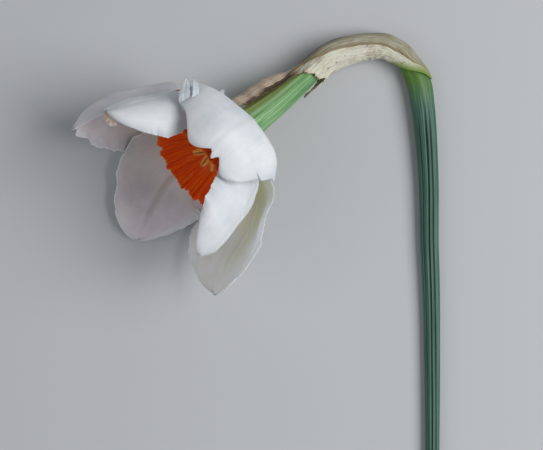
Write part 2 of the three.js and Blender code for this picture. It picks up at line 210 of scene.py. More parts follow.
# The stalk's half width at distances from its cut foot.
SCAPE_RADIUS = [
    (0, 2.05), (95, 2.05), (124, 2.2), (140, 2.4), (151, 2.55), (168, 2.85), (184, 3.25),
    (192, 3.45), (196, 3.45), (NECK, 3.15), (NECK + 3, 2.7), (NECK + 5, 2.0),
]
SCAPE_END = NECK + 5
# The stalk is this much lower than it is wide.
SCAPE_HEIGHT = 0.855
SCAPE_ROWS, SCAPE_COLUMNS = 300, 144
HOLLOW_RADIUS = 0.8
HOLLOW_DEPTH = 8
CUT_LIP = 0.12
# A groove this deep, as a share of the radius, gets its full painted shade.
FULL_SHADE_GROOVE = 0.14
# From here up the grooves turn towards their place at the top, with a slight drift on the way.
GROOVE_TURN_START = 60
GROOVE_DRIFT = 8
# Each groove: its turn from the stalk's upper side at the foot and at the top, in degrees, how deep
# it is as a share of the radius, and how wide in degrees.
SCAPE_GROOVES = [
    (-3, 2, 0.21, 5.5),
    (36, 24, 0.17, 5),
    (72, 60, 0.08, 5),
    (-42, -40, 0.12, 6),
    (18, 13, 0.04, 3),
    (-24, -20, 0.04, 3),
    (100, 96, 0.12, 8),
    (142, 140, 0.1, 8),
    (182, 182, 0.12, 9),
    (224, 226, 0.1, 8),
    (262, 264, 0.12, 8),
    (300, 304, 0.07, 6),
    (328, 334, 0.05, 5),
]


def read_off(table, places):
    """The values at such places in a table of places and values."""
    return np.interp(places, *np.transpose(table))


def hump(x):
    """A smooth hump, 1 at 0 and low beyond 1 to either side."""
    return np.exp(-(x**2))


def scape_grooves(turn, distance):
    """How deep the grooves are cut at a turn round the stalk, as a share of its radius."""
    depth = np.zeros_like(turn)
    share = np.clip((distance - GROOVE_TURN_START) / (NECK - GROOVE_TURN_START), 0, 1)
    for foot, top, deep, width in SCAPE_GROOVES:
        middle = foot + (top - foot) * share - GROOVE_DRIFT * np.sin(math.pi * share) ** 2
        off = (turn - middle + 180) % 360 - 180
        depth += deep * hump(off / width)
    fading = np.clip((NECK - 5 - distance) / 14, 0, 1)
    return depth * fading**1.5


def scape_place(along, across):
    """The first rows run from the bottom of the hollow out to the cut and over its rounded lip."""
    hollow = [(0, HOLLOW_DEPTH), (HOLLOW_RADIUS - 0.02, HOLLOW_DEPTH), (HOLLOW_RADIUS, HOLLOW_DEPTH / 2)]
    hollow += [(HOLLOW_RADIUS + 0.02, 0.1), (1.0, 0), (1.9, 0), (2.02, CUT_LIP)]
    first = len(hollow) / SCAPE_ROWS
    row = np.clip(along / first, 0, 1) * (len(hollow) - 1)
    cut_radius = np.interp(row, range(len(hollow)), [r for r, d in hollow])
    cut_distance = np.interp(row, range(len(hollow)), [d for r, d in hollow])
    grown = CUT_LIP + np.clip((along - first) / (0.985 - first), 0, 1) * (SCAPE_END - CUT_LIP)
    radius = read_off(SCAPE_RADIUS, grown)
    inside = along < first
    distance = np.where(inside, cut_distance, grown)
    radius = np.where(inside, cut_radius, radius)
    radius = np.where(along > 0.999, 0.0, radius)
    turn = across * 360 - 180
    angle = np.radians(turn)
    edged = 1 + 0.03 * np.cos(2 * angle + math.pi)
    fine = 0.006 * np.sin(23 * angle + 1.3 * np.sin(3 * angle)) + 0.004 * np.sin(41 * angle)
    cut = np.clip((radius - 0.85) / 1.1, 0, 1)
    groove = scape_grooves(turn, distance) * cut
    round_out = radius * (1 + (edged - 1 + fine) * cut - groove)
    wander = 0.1 * np.sin(distance / 17.0) * np.sin(angle) * cut
    side = np.sin(angle) * round_out + wander
    above = np.cos(angle) * round_out * SCAPE_HEIGHT
    return beside_stem(distance, side, above)


scape = shaped_grid("scape_stalk", SCAPE_ROWS, SCAPE_COLUMNS, scape_place)
rows, turns = corner_shares(SCAPE_ROWS, SCAPE_COLUMNS)
grooves = scape_grooves(turns * 360 - 180, rows * SCAPE_END)
# How deep each spot lies in a groove, for the painted shade there.
note_on_corners(scape, "groove", np.clip(grooves / FULL_SHADE_GROOVE, 0, 1))
note_on_corners(scape, "height_up", rows * SCAPE_END / NECK)
join_edges()

# Waxy blue-green stalk skin: painted shade, a dark bottle green, in the grooves, which leaves the ribs
# paler, yellow-green at the node, with fine lengthwise streaks.
waxy_stalk = new_material("waxy_blue_green_stalk_skin")
groove = add_node(waxy_stalk, "Attribute", attribute_name="groove").outputs["Fac"]
height = add_node(waxy_stalk, "Attribute", attribute_name="height_up").outputs["Fac"]
streaks = streaks_along(waxy_stalk, (9, 62), Detail=4.0, Roughness=0.6)
skin = add_node(
    waxy_stalk, "ValToRGB", {"Fac": streaks}, [(0.3, "#264d40"), (0.72, "#698f84"), (0.5, "#446e60")]
)
# Painted shade: the grooves are darkened towards #0e2c20.
groove_shaded_skin = add_node(waxy_stalk, "Mix", {0: groove, 6: skin, 7: "#0e2c20"}, data_type="RGBA")
node_green = add_node(waxy_stalk, "ValToRGB", {"Fac": height}, [(0.935, "#000000"), (0.978, "#ffffff")])
top_streak = add_node(waxy_stalk, "ValToRGB", {"Fac": streaks}, [(0.3, "#386422"), (0.75, "#6f9240")])
stalk_colour = add_node(waxy_stalk, "Mix", {0: node_green, 6: groove_shaded_skin, 7: top_streak}, data_type="RGBA")
bloom = mottling(waxy_stalk, 420.0, Detail=3.0)
gloss = add_node(waxy_stalk, "MapRange", {"Value": bloom, "To Min": 0.38, "To Max": 0.58})
ridged = add_node(waxy_stalk, "Bump", {"Height": streaks, "Strength": 0.5, "Distance": 0.12 * MM})
finish_material(waxy_stalk, {
    "Base Color": stalk_colour,
    "Roughness": gloss,
    "Normal": ridged,
    "Subsurface Weight": 0.12,
    "Subsurface Radius": (0.4, 1.0, 0.3),
    "Subsurface Scale": 1.2 * MM,
    "Specular IOR Level": 0.4,
})
grown_as(scape, "scape", "stem_green", waxy_stalk)


# ---------------- pedicel: the flower's own stalk
# A short, soft green stalk inside the sheath that carries the seed chamber. It grows out of the top
# of the scape, and shows only through the slit on the sheath's underside.

PEDICEL_LENGTH = 17.3
PEDICEL_RADIUS = 1.6
PEDICEL_ROWS, PEDICEL_COLUMNS = 40, 72


def pedicel_place(along, across):
    distance = NECK - 0.5 + np.clip((along - 0.03) / 0.94, 0, 1) * (PEDICEL_LENGTH + 1)
    angle = across * 2 * math.pi
    radius = PEDICEL_RADIUS + 0.1 * np.cos(3 * angle) + 0.03 * np.cos(17 * angle)
    radius = np.where((along < 0.01) | (along > 0.99), 0, radius)
    return beside_stem(distance, np.sin(angle) * radius, np.cos(angle) * radius)


pedicel = shaped_grid("pedicel_stalk", PEDICEL_ROWS, PEDICEL_COLUMNS, pedicel_place)
join_edges()

# Soft stalk skin that never saw the sun: pale green, faintly streaked and a little moist.
soft_stalk = new_material("soft_pale_green_stalk_skin")
streaks = streaks_along(soft_stalk, (3, 34), Detail=4.0)
skin = add_node(soft_stalk, "ValToRGB", {"Fac": streaks}, [(0.3, "#7d9f63"), (0.7, "#b3c98f")])
ridged = add_node(soft_stalk, "Bump", {"Height": streaks, "Strength": 0.5, "Distance": 0.1 * MM})
finish_material(soft_stalk, {
    "Base Color": skin,
    "Roughness": 0.45,
    "Normal": ridged,
    "Subsurface Weight": 0.15,
    "Subsurface Radius": (0.5, 1.0, 0.3),
    "Subsurface Scale": 1 * MM,
})
grown_as(pedicel, "pedicel", "pedicel_green", soft_stalk)


# ---------------- floral tube
# The green tube that the petals and stamens grow from, with the swollen seed chamber at its foot inside the
# sheath. It is rounded-triangular, firm and fleshy, with a smooth striped skin: a pale line runs along each
# of its ribs, and the brightest of these lines are painted highlights. Its bore is open at the throat.

# Distances along the stem line, and the tube's half width at distances from the seed chamber's foot.
CHAMBER_START = NECK + 17.45
TUBE_END = STEM_END - 2.0
TUBE_RADIUS = [
    (0, 1.7), (3, 2.3), (7, 2.65), (11, 2.65), (15, 2.75), (19, 3.1), (27, 3.6), (36, 4.1),
    (43, 4.75), (46.5, 5.1),
]
# The pale stripes: where each lies round the tube and how wide it is, in degrees. The double line at 14 and
# 20 degrees and the line at -33 are painted highlights.
TUBE_STRIPES = [(14, 1.7), (20, 0.9), (-5, 0.7), (-33, 1.1), (44, 0.8), (72, 1.2), (-78, 1.2), (140, 1.8)]
TUBE_ROWS, TUBE_COLUMNS = 130, 180
# The share of the rows that make the outer skin, and the bore's radius at depths below the throat.
SKIN_SHARE = 0.62
BORE = [(0, 2.9), (4, 2.8), (12, 2.5), (24, 1.6), (26, 0)]


def tube_place(along, across):
    """The first rows run up the tube's skin, and the rest down its bore to the bore's floor."""
    turn = across * 360 - 180
    angle = np.radians(turn)
    length = TUBE_END - CHAMBER_START
    up = np.clip(along / SKIN_SHARE, 0, 1) * length
    outer = read_off(TUBE_RADIUS, up)
    down = np.clip((along - SKIN_SHARE) / (1 - SKIN_SHARE), 0, 1) * BORE[-1][0]
    bore = read_off(BORE, down)
    inside = along > SKIN_SHARE
    rib = 1 + 0.02 * np.cos(3 * angle + 0.5)
    for stripe, width in TUBE_STRIPES:
        off = (turn - stripe + 180) % 360 - 180
        rib = rib + 0.01 * hump(off / (2 * width))
    rib = rib + 0.0025 * np.cos(29 * angle + 2 * np.sin(4 * angle)) - 0.025
    radius = np.where(inside, bore, outer * rib)
    radius = np.where(along < 0.004, 0, radius)
    distance = CHAMBER_START + np.where(inside, length - down, up)
    # Half way along, the tube is a little fuller on the outside of the bend.
    fuller = np.where(inside, 0, 0.4 * np.sin(math.pi * np.clip((up - 12) / 34, 0, 1)))
    return beside_stem(distance, np.sin(angle) * radius + fuller, np.cos(angle) * radius)


floral_tube = shaped_grid("floral_tube_body", TUBE_ROWS, TUBE_COLUMNS, tube_place)
turns = corner_shares(TUBE_ROWS, TUBE_COLUMNS)[1] * 360 - 180
pale = np.zeros_like(turns)
for stripe, width in TUBE_STRIPES:
    off = (turns - stripe + 180) % 360 - 180
    pale = np.maximum(pale, hump(off / width))
note_on_corners(floral_tube, "pale_rib_and_highlight", pale)
note_on_corners(floral_tube, "yellow_side", hump((turns - 62) / 34))
join_edges()

# Firm green skin with pale lines on its ribs, the brightest of them painted highlights, yellower on one
# side, and a soft gloss broken by its cells.
striped_tube = new_material("striped_green_flower_tube_skin")
stripe = add_node(striped_tube, "Attribute", attribute_name="pale_rib_and_highlight").outputs["Fac"]
yellow = add_node(striped_tube, "Attribute", attribute_name="yellow_side").outputs["Fac"]
streaks = streaks_along(striped_tube, (5, 42), Detail=6.0, Roughness=0.7)
skin = add_node(
    striped_tube, "ValToRGB", {"Fac": streaks}, [(0.32, "#467a48"), (0.7, "#a8cf98"), (0.5, "#72a368")]
)
sunny = add_node(striped_tube, "Mix", {0: yellow, 6: skin, 7: "#a3ab4f"}, data_type="RGBA")
# Pale ribs and painted highlights: the stripes are lightened towards #d4e6d2.
rib_and_highlight_share = add_node(striped_tube, "Math", {0: stripe, 1: 0.55}, operation="MULTIPLY")
tube_colour = add_node(striped_tube, "Mix", {0: rib_and_highlight_share, 6: sunny, 7: "#d4e6d2"}, data_type="RGBA")
ridged = add_node(striped_tube, "Bump", {"Height": streaks, "Strength": 0.5, "Distance": 0.1 * MM})
cells = mottling(striped_tube, 900.0, Detail=2.0)
gloss = add_node(striped_tube, "MapRange", {"Value": cells, "To Min": 0.3, "To Max": 0.5})
finish_material(striped_tube, {
    "Base Color": tube_colour,
    "Roughness": gloss,
    "Normal": ridged,
    "Subsurface Weight": 0.15,
    "Subsurface Radius": (0.5, 1.0, 0.3),
    "Subsurface Scale": 1.5 * MM,
    "Specular IOR Level": 0.45,
})
grown_as(floral_tube, "floral_tube", "tube_green", striped_tube)


# ---------------- spathe: the papery sheath
# A dried bract wrapped round the neck and open along its underside. It grows from the node at the
# top of the scape. One margin laps over the other along a brown seam, its mouth is torn, and one
# strip runs on as a pointed tongue along the green tube, on the outside of the bend.

# The sheath's half width at distances past the neck.
SHEATH_RADIUS = [
    (-4, 3.62), (0, 3.45), (4, 3.15), (8, 3.1), (14, 3.35), (20, 3.55), (27, 3.75), (33, 3.8),
    (37, 3.9), (44, 4.1), (52, 4.6), (58, 5.0),
]
SHEATH_LENGTH = 36.3
TONGUE_LENGTH, TONGUE_TURN = 20.5, 80
FLAP_LENGTH, FLAP_TURN = 7, -102
SHEATH_ROWS, SHEATH_COLUMNS = 170, 236
SHEATH_THICKNESS = 0.28
SHEATH_RESTING = 0.4
# It reaches this many degrees to each side, and starts so far past the neck, all the way round.
SHEATH_WRAP = 165
SHEATH_START = [7, 7, 6.5, 5, 2.6, 0.4, -1.6, -3.2, -3, -1.5, 0]
# Where the brown seam lies round the neck, in degrees, along the sheath.
SEAM_TURN = [
    (-4, 90), (0, 50), (2.5, 20), (6.5, 4), (11.5, 2), (15.5, 8), (21, 12), (29, 20), (33, 40),
    (37, 58), (58, 66),
]


def through(values, t):
    """A smooth curve through evenly spaced values, read where t is 0 to 1."""
    values = np.array(values, float)
    last = len(values) - 1
    spot = np.clip(t, 0, 1) * last
    k = np.minimum(spot.astype(int), last - 1)
    f = spot - k
    a = values[np.maximum(k - 1, 0)]
    b = values[k]
    c = values[k + 1]
    d = values[np.minimum(k + 2, last)]
    square = 2 * a - 5 * b + 4 * c - d
    cube = 3 * b - a - 3 * c + d
    return 0.5 * (2 * b + (c - a) * f + square * f**2 + cube * f**3)


def waves(amount, *terms):
    """A sum of sine waves. Each term is (share, position times its number of turns plus a start)."""
    return amount * sum(share * np.sin(phase) for share, phase in terms)


def smooth_step(low, high, x):
    t = np.clip((x - low) / (high - low), 0, 1)
    return t * t * (3 - 2 * t)


def thicken(piece, thickness, offset, **settings):
    """Makes a thin sheet solid: offset 1 grows it outwards, -1 inwards and 0 to both sides."""
    bpy.ops.object.modifier_add(type="SOLIDIFY")
    solid = piece.modifiers["Solidify"]
    solid.thickness = thickness * MM
    solid.offset = offset
    for name, value in settings.items():
        setattr(solid, name, value)
    bpy.ops.object.modifier_apply(modifier="Solidify")
    bpy.ops.object.shade_smooth()


def pressed_flat(points, resting, softness):
    """Flattens a sheet where it lies on the ground, resting so far above it."""
    points[:, 2] = resting + softness * np.logaddexp(0, (points[:, 2] - resting) / softness)
    return points


def sheath_start(turn):
    return through(SHEATH_START, (turn + SHEATH_WRAP) / (2 * SHEATH_WRAP))


def sheath_end(turn):
    """The torn mouth, which runs out into the tongue on one side and a small flap on the other."""
    a = np.radians(turn)
    tongue = np.exp(-np.abs((turn - TONGUE_TURN) / 33) ** 3)
    flap = FLAP_LENGTH * np.exp(-np.abs((turn - FLAP_TURN) / 25) ** 3)
    torn = waves(0.35, (1, 7 * a), (0.7, 13 * a + 0.7), (0.5, 29 * a), (0.35, 47 * a + 2))
    ragged = waves(0.3, (1, 61 * a), (0.7, 83 * a + 1)) * (0.5 + tongue)
    slant = 0.045 * np.clip(turn, -70, 60)
    return SHEATH_LENGTH + slant + TONGUE_LENGTH * tongue + flap + torn + ragged


def sheath_place(along, across):
    turn = (across - 0.5) * 2 * SHEATH_WRAP
    start, end = sheath_start(turn), sheath_end(turn)
    distance = start + (end - start) * along
    seam = read_off(SEAM_TURN, distance)
    radius = read_off(SHEATH_RADIUS, distance)
    # The lapping margin stands up along the seam, and the dried bract is pleated and crumpled.
    past = turn - seam
    lap = 0.3 * smooth_step(-1.5, 1.5, past) * np.exp(-np.clip(past, 0, None) / 30)
    lip = 0.22 * hump(past / 2.2)
    a = np.radians(turn)
    d = distance
    pleats = waves(0.035, (1, 26 * a + 0.06 * d), (0.8, 43 * a - 0.05 * d), (0.6, 71 * a + 0.04 * d))
    crumple = waves(
        0.13,
        (1, 3 * a + 0.22 * d),
        (0.8, 5 * a - 0.17 * d + 1),
        (0.5, 2 * a + 0.4 * d + 2),
        (0.3, 7 * a + 0.5 * d),
    )
    # Small crinkles gather on the inside of the bend.
    inner_bend = hump((turn + 85) / 45) * hump((d - 12) / 8)
    crinkles = waves(0.14, (1, 1.9 * d + 4 * a), (0.8, 3.1 * d - 3 * a), (0.6, 4.6 * d))
    crumple = crumple + inner_bend * crinkles
    held = smooth_step(0.5, 7, d - start)
    mouth = smooth_step(5.5, 0, end - d)
    flare = mouth * waves(0.14, (1, 9 * a), (0.7, 21 * a + 1)) + 0.15 * mouth
    # The tongue stands off the tube, furthest at its outer edge, and the small flap lies against it.
    past_mouth = smooth_step(37, 45, d)
    wavy = waves(0.22, (1, 0.55 * d), (0.7, 1.3 * d + 6 * a), (0.4, 2.9 * d + 3 * a))
    tongue = past_mouth * smooth_step(40, 58, turn)
    lift = tongue * (0.15 + wavy) + past_mouth * 3.3 * smooth_step(58, 108, turn)
    lift = lift - 0.65 * smooth_step(-60, -95, turn) * smooth_step(34, 40, d)
    radius = radius + (lap + lip) * held + (pleats + crumple) * held + flare + lift
    spot = beside_stem(NECK + 0.1 + distance, np.sin(a) * radius, np.cos(a) * radius)
    return pressed_flat(spot, SHEATH_RESTING, 0.25)


spathe = shaped_grid("spathe_sheath", SHEATH_ROWS, SHEATH_COLUMNS, sheath_place)
rows, turns = corner_shares(SHEATH_ROWS, SHEATH_COLUMNS)
turns = (turns - 0.5) * 2 * SHEATH_WRAP
starts, ends = sheath_start(turns), sheath_end(turns)
reach = starts + (ends - starts) * rows
seam_at = read_off(SEAM_TURN, reach)
# A darker patch on the upper lap: partly real browning, partly painted shade.
shade_and_browning = smooth_step(17, 27, reach) * smooth_step(38, 33, reach) * smooth_step(30, 62, turns - 0.3 * seam_at)
past_mouth = smooth_step(35.5, 41, reach)
# Where the tongue folds off the tube: painted shade on its inner face below the fold, and a painted
# highlight along the fold.
fold_line = turns - 66 - 1.5 * np.sin(0.7 * reach)
SHEATH_NOTES = {
    "seam": hump((turns - seam_at) / 1.8),
    "outer_lap": smooth_step(-2, 2, turns - seam_at),
    "shade_and_browning_patch": 0.75 * shade_and_browning,
    "greening": smooth_step(4.5, 0, reach - starts),
    "dry_edge": smooth_step(0.8, 0, ends - reach) + 0.9 * past_mouth,
    "shaded_fold": past_mouth * smooth_step(1, -3, fold_line),
    "painted_fold_highlight": past_mouth * hump((fold_line - 1.6) / 1.4),
}
for name, values in SHEATH_NOTES.items():
    note_on_corners(spathe, name, values)
thicken(spathe, SHEATH_THICKNESS, -1)

# Dried bract: cream and grey-tan paper with long fibres, brown stains and specks, a brown seam, a pinkish
# torn edge, and a green foot where it still lives. It also carries painted shade: darker on the upper lap,
# where it is also browned, and on the tongue's inner face, with a painted highlight along the tongue's
# fold.
dry_paper = new_material("dried_papery_bract")
noted = {
    name: add_node(dry_paper, "Attribute", attribute_name=name).outputs["Fac"] for name in SHEATH_NOTES
}
fibres = streaks_along(dry_paper, (9, 90), Detail=8.0, Roughness=0.7, Distortion=0.5)
blotches = mottling(dry_paper, 210.0, Detail=5.0, Roughness=0.6)
cream = add_node(
    dry_paper, "ValToRGB", {"Fac": fibres}, [(0.32, "#b9b295"), (0.68, "#eeecdf"), (0.48, "#dad7c3")]
)
grey_tan = add_node(
    dry_paper, "ValToRGB", {"Fac": fibres}, [(0.32, "#706452"), (0.7, "#d0cdb9"), (0.5, "#aaa58e")]
)
stain = add_node(
    dry_paper, "MapRange", {"Value": blotches, "From Min": 0.56, "From Max": 0.74, "To Max": 0.6}
)
specks = mottling(dry_paper, 1100.0, Detail=2.0)
speck_share = add_node(
    dry_paper, "MapRange", {"Value": specks, "From Min": 0.66, "From Max": 0.72, "To Max": 0.75}
)
pink_edge = add_node(
    dry_paper, "Math", {0: noted["dry_edge"], 1: 0.85}, operation="MULTIPLY", use_clamp=True
)
seam_share = add_node(dry_paper, "Math", {0: noted["seam"], 1: 0.9}, operation="MULTIPLY")
bract_colour = add_node(
    dry_paper, "Mix", {0: noted["outer_lap"], 6: cream, 7: grey_tan}, data_type="RGBA"
)
for share, colour in (
    (stain, "#8a6a4a"),
    # Browning with painted shade on the upper lap.
    (noted["shade_and_browning_patch"], "#5b4f40"),
    (speck_share, "#5f4527"),
    (pink_edge, "#dcc1aa"),
    (seam_share, "#7c6433"),
    # Painted shade on the tongue's inner face, and a painted highlight along its fold.
    (noted["shaded_fold"], "#5c4a38"),
    (noted["painted_fold_highlight"], "#e6dccb"),
    (noted["greening"], "#7f9648"),
):
    bract_colour = add_node(dry_paper, "Mix", {0: share, 6: bract_colour, 7: colour}, data_type="RGBA")
ridged = add_node(dry_paper, "Bump", {"Height": fibres, "Strength": 0.9, "Distance": 0.2 * MM})
finish_material(dry_paper, {
    "Base Color": bract_colour,
    "Roughness": 0.62,
    "Normal": ridged,
    "Subsurface Weight": 0.1,
    "Subsurface Radius": (1.0, 0.8, 0.5),
    "Subsurface Scale": 0.8 * MM,
    "Specular IOR Level": 0.35,
})
grown_as(spathe, "spathe", "sheath_tan", dry_paper)


# ---------------- tepals: the six white petals
# Six thin, soft blades grow from the rim of the throat, three outer ones behind three inner ones.
# Each is one living sheet with a sunken midrib, fine lengthwise veins and a thin, ruffled margin.
# The outer three end in a small white point.

# The head's own frame stands on the throat. Its Z axis points out of the cup, its Y axis up and its
# X axis to the side.
THROAT = np.array(STEM_LINE[-1])
CUP_BEARING = math.radians(217.7)
CUP_LIFT = math.radians(24)
CUP_LEVEL = math.cos(CUP_LIFT)
cup_axis = np.array(
    [CUP_LEVEL * math.cos(CUP_BEARING), CUP_LEVEL * math.sin(CUP_BEARING), math.sin(CUP_LIFT)]
)
side_axis = unit(np.cross((0, 0, 1), cup_axis))
top_axis = np.cross(cup_axis, side_axis)
HEAD_AXES = np.array([side_axis, top_axis, cup_axis])


def in_head(points):
    """Points given in the frame of the flower's head, in the frame that the whole part is built in."""
    return THROAT + points @ HEAD_AXES


def along_petal(three, u):
    """A value that runs smoothly through what it is at a petal's base, middle and tip."""
    base, middle, tip = three
    return base * (1 - u) * (1 - 2 * u) + middle * 4 * u * (1 - u) + tip * u * (2 * u - 1)


# What each petal's list says. A pair of values is for its left and its right half.
# bearing: where it grows round the throat, in degrees
# midrib: its middle line, as points so far out, so far forward and turned so many degrees aside
# half_width: in mm; widest, shoulder: where along it the half is widest and where it starts to narrow
# fullness, roundness, blunt: how it narrows from there, and the share of its width left at the tip
# ends: how far the petal reaches, from its left margin to its right one
# curl, rim: how far the half and its outer part bend inwards at the base, middle and tip, in degrees
# fold, keel: how strong the fold along the midrib is, and how high its ridge stands behind, in mm
# pleats, ruffle: lengthwise waves of the right half, and waves of the margin, in mm
# point, point_side, point_width: the length of the tip's point in mm, its place and its width
# pulls, nudges: pushes in mm at a place along and across it; a pull also says how wide it spreads
# seed: where its waves start; back, front: the skins of its two faces
PLAIN_PETAL = dict(
    widest=(0.5, 0.5),
    shoulder=(0.45, 0.45),
    fullness=(2, 2),
    roundness=(0.55, 0.55),
    blunt=0.04,
    ends=[1, 1, 1],
    rim=((0, 0, 0), (0, 0, 0)),
    fold=1,
    keel=0.3,
    pleats=0,
    ruffle=0.13,
    point=0,
    point_side=0,
    point_width=0.3,
    pulls=[],
    back="plain_back",
    front="violet_front",
)
PETALS = {
    "outer_tepal_1": dict(
        bearing=244,
        midrib=[
            (4, -1.2, 0), (18.5, -2.2, 8), (25.5, 6.5, 13), (29, 16.5, 16), (29.8, 25, 16), (28.1, 30.7, 14)
        ],
        half_width=(25, 13),
        curl=((10, 45, 45), (5, 72, 88)),
        shoulder=(0.3, 0.45),
        fullness=(1.8, 2),
        roundness=(0.7, 0.6),
        pulls=[(1, -0.85, 0.09, 0.5, (0, 0.5, -1.25))],
        point=1.0,
        nudges=[
            (0.9, -1, (2.03, -0.61, 1.38)), (0.6, 0.5, (0.98, -0.22, 0.49)),
            (1, 0, (-0.02, 0.47, -1.05)), (1, -0.5, (0.07, 0.51, -1.14)),
            (0.9, 0.5, (0.45, -0.02, 0.06)), (0.45, 0.75, (0.5, -0.15, 0.34)),
            (0.75, 0.25, (0.71, -0.1, 0.22)),
        ],
        seed=1.0,
        back="lilac_back",
    ),
    "outer_tepal_2": dict(
        bearing=2,
        midrib=[
            (4, -1.2, 0), (13, -1.8, 0), (19.8, -1, 0), (23.9, 3.2, 0), (24.9, 9.3, 0),
            (22.3, 15.3, 2.5), (18.3, 18.2, 5),
        ],
        half_width=(20, 18.8),
        curl=((5, 50, 46), (5, 36, 36)),
        rim=((0, 0, 0), (0, 10, 10)),
        widest=(0.5, 0.4),
        shoulder=(0.5, 0.5),
        fullness=(4, 4),
        roundness=(0.5, 0.5),
        blunt=0.75,
        ends=[
            0.62, 0.745, 0.77, 0.8, 0.855, 0.926, 0.92, 0.882, 0.835,
            0.85, 0.905, 0.95, 0.93, 0.87, 0.75, 0.49, 0.3,
        ],
        pulls=[(0.33, 0.54, 0.22, 0.32, (1.1, 0.6, -1.3)), (0.4, 1, 0.3, 0.4, (-0.8, -0.2, 0.3))],
        fold=0.3,
        point=2.4,
        point_side=0.05,
        point_width=0.05,
        nudges=[
            (0.3, 0.75, (0.26, -0.26, 0.59)), (1, 0.25, (-0.89, 0.18, -0.4)),
            (0.3, 0.5, (-0.37, -0.21, 0.47)), (0.45, -0.25, (0.62, 0.04, -0.08)),
            (0.75, 1, (0.26, -0.06, 0.14)), (0.45, 0.25, (-0.18, 0.07, -0.16)),
            (0.75, -0.75, (0.14, 0.02, -0.06)),
        ],
        seed=2.0,
    ),
    "outer_tepal_3": dict(
        bearing=112,
        midrib=[
            (4, -1.2, 0), (12.9, -2.2, 0), (18.9, -0.8, 0), (24, 5.8, 0), (28.5, 15.3, 0), (33, 24.9, 0)
        ],
        half_width=(17.5, 20),
        curl=((5, 38, 40), (10, 33, 38)),
        rim=((0, -60, -10), (0, 0, 0)),
        widest=(0.7, 0.45),
        shoulder=(0.6, 0.45),
        fullness=(6, 2),
        roundness=(0.5, 0.6),
        keel=-0.5,
        fold=1.8,
        pleats=0.8,
        point=0.9,
        nudges=[
            (0.45, -1, (-1.26, -0.43, 0.96)), (0.15, -1, (1.05, 0.77, -1.72)),
            (0.75, -1, (0.81, 0.29, -0.65)), (0.6, 1, (0.55, -0.32, 0.71)),
            (1, 0.75, (0.27, 0.47, -1.05)), (1, 0, (-0.51, 0.35, -0.79)),
            (0.75, 1, (-0.57, -0.17, 0.38)),
        ],
        seed=3.0,
        back="lilac_back",
        front="green_front",
    ),
    "inner_tepal_1": dict(
        bearing=300,
        midrib=[(4, 0, 0), (14, 2, 0), (20, 6, 0), (23.5, 13, 0), (26, 18.9, 0), (27.4, 26.9, -2)],
        half_width=(10, 16),
        curl=((10, 60, 60), (10, 95, 75)),
        widest=(0.5, 0.72),
        fold=0.35,
        nudges=[
            (0.6, 0, (0.81, -0.19, 0.44)), (1, 0, (0.14, -0.05, 0.12)),
            (0.45, 1, (-0.79, 0.22, -0.49)), (0.75, 1, (0.41, -0.14, 0.3)),
            (0.45, 0, (0.4, -0.13, 0.29)), (0.9, 0, (0.59, -0.15, 0.33)),
            (1, 0.25, (0.13, 0.12, -0.28)),
        ],
        seed=4.0,
    ),
    "inner_tepal_2": dict(
        bearing=70,
        midrib=[(4, 0, 0), (15, 1.8, 0), (21, 11.6, 0), (23.4, 21.3, 0), (21.9, 27.9, 2)],
        half_width=(19.5, 11),
        curl=((10, 71, 54), (10, 55, 55)),
        shoulder=(0.6, 0.45),
        fullness=(2.6, 2),
        ruffle=0.2,
        nudges=[
            (0.75, 0.25, (-1.61, -0.25, 0.56)), (0.6, -1, (0.94, 0.02, -0.06)),
            (0.3, 0, (-0.44, -0.1, 0.23)), (1, -0.75, (-0.8, -0.42, 0.94)),
            (0.75, -1, (0.63, 0.4, -0.89)), (1, 0.5, (-0.8, -0.16, 0.36)),
            (0.45, 0, (-0.77, -0.05, 0.11)),
        ],
        seed=5.0,
    ),
    "inner_tepal_3": dict(
        bearing=183,
        midrib=[(4, 0, 0), (15, 1, 2), (25, 8.8, 2), (29, 16.3, -5), (31.5, 25.3, -13)],
        half_width=(16.5, 15.2),
        curl=((10, 37, 40), (10, 48, 44)),
        rim=((0, -30, -110), (0, 0, 0)),
        fullness=(1.9, 2.8),
        roundness=(0.65, 0.5),
        ruffle=0.17,
        nudges=[
            (0.45, 1, (-0.87, -0.2, 0.44)), (0.75, 1, (0.98, 0.35, -0.79)),
            (1, 0.75, (0, -0.33, 0.74)), (0.75, -0.75, (-0.48, 0.1, -0.23)),
            (1, -1, (0.15, -0.36, 0.8)), (0.6, 1, (-0.72, -0.27, 0.6)),
            (0.9, -0.75, (-0.36, 0.31, -0.7)),
        ],
        seed=6.0,
    ),
}
# The share of its width that a petal starts with, where across it the outer part starts to bend, and
# how many slices that bend is added up from.
PETAL_CLAW = 0.14
RIM_START = 0.7
BEND_SLICES = 24
# How wide a nudge spreads along and across, as shares of the petal.
NUDGE_SPREAD = (0.2, 0.4)
# How far the inner face lies off the middle line, and how high a petal rests above the ground.
FACE_GAP = 0.1
PETAL_RESTING = 0.5
PETAL_THICKNESS = 0.45
PETAL_ROWS, PETAL_COLUMNS = 144, 124


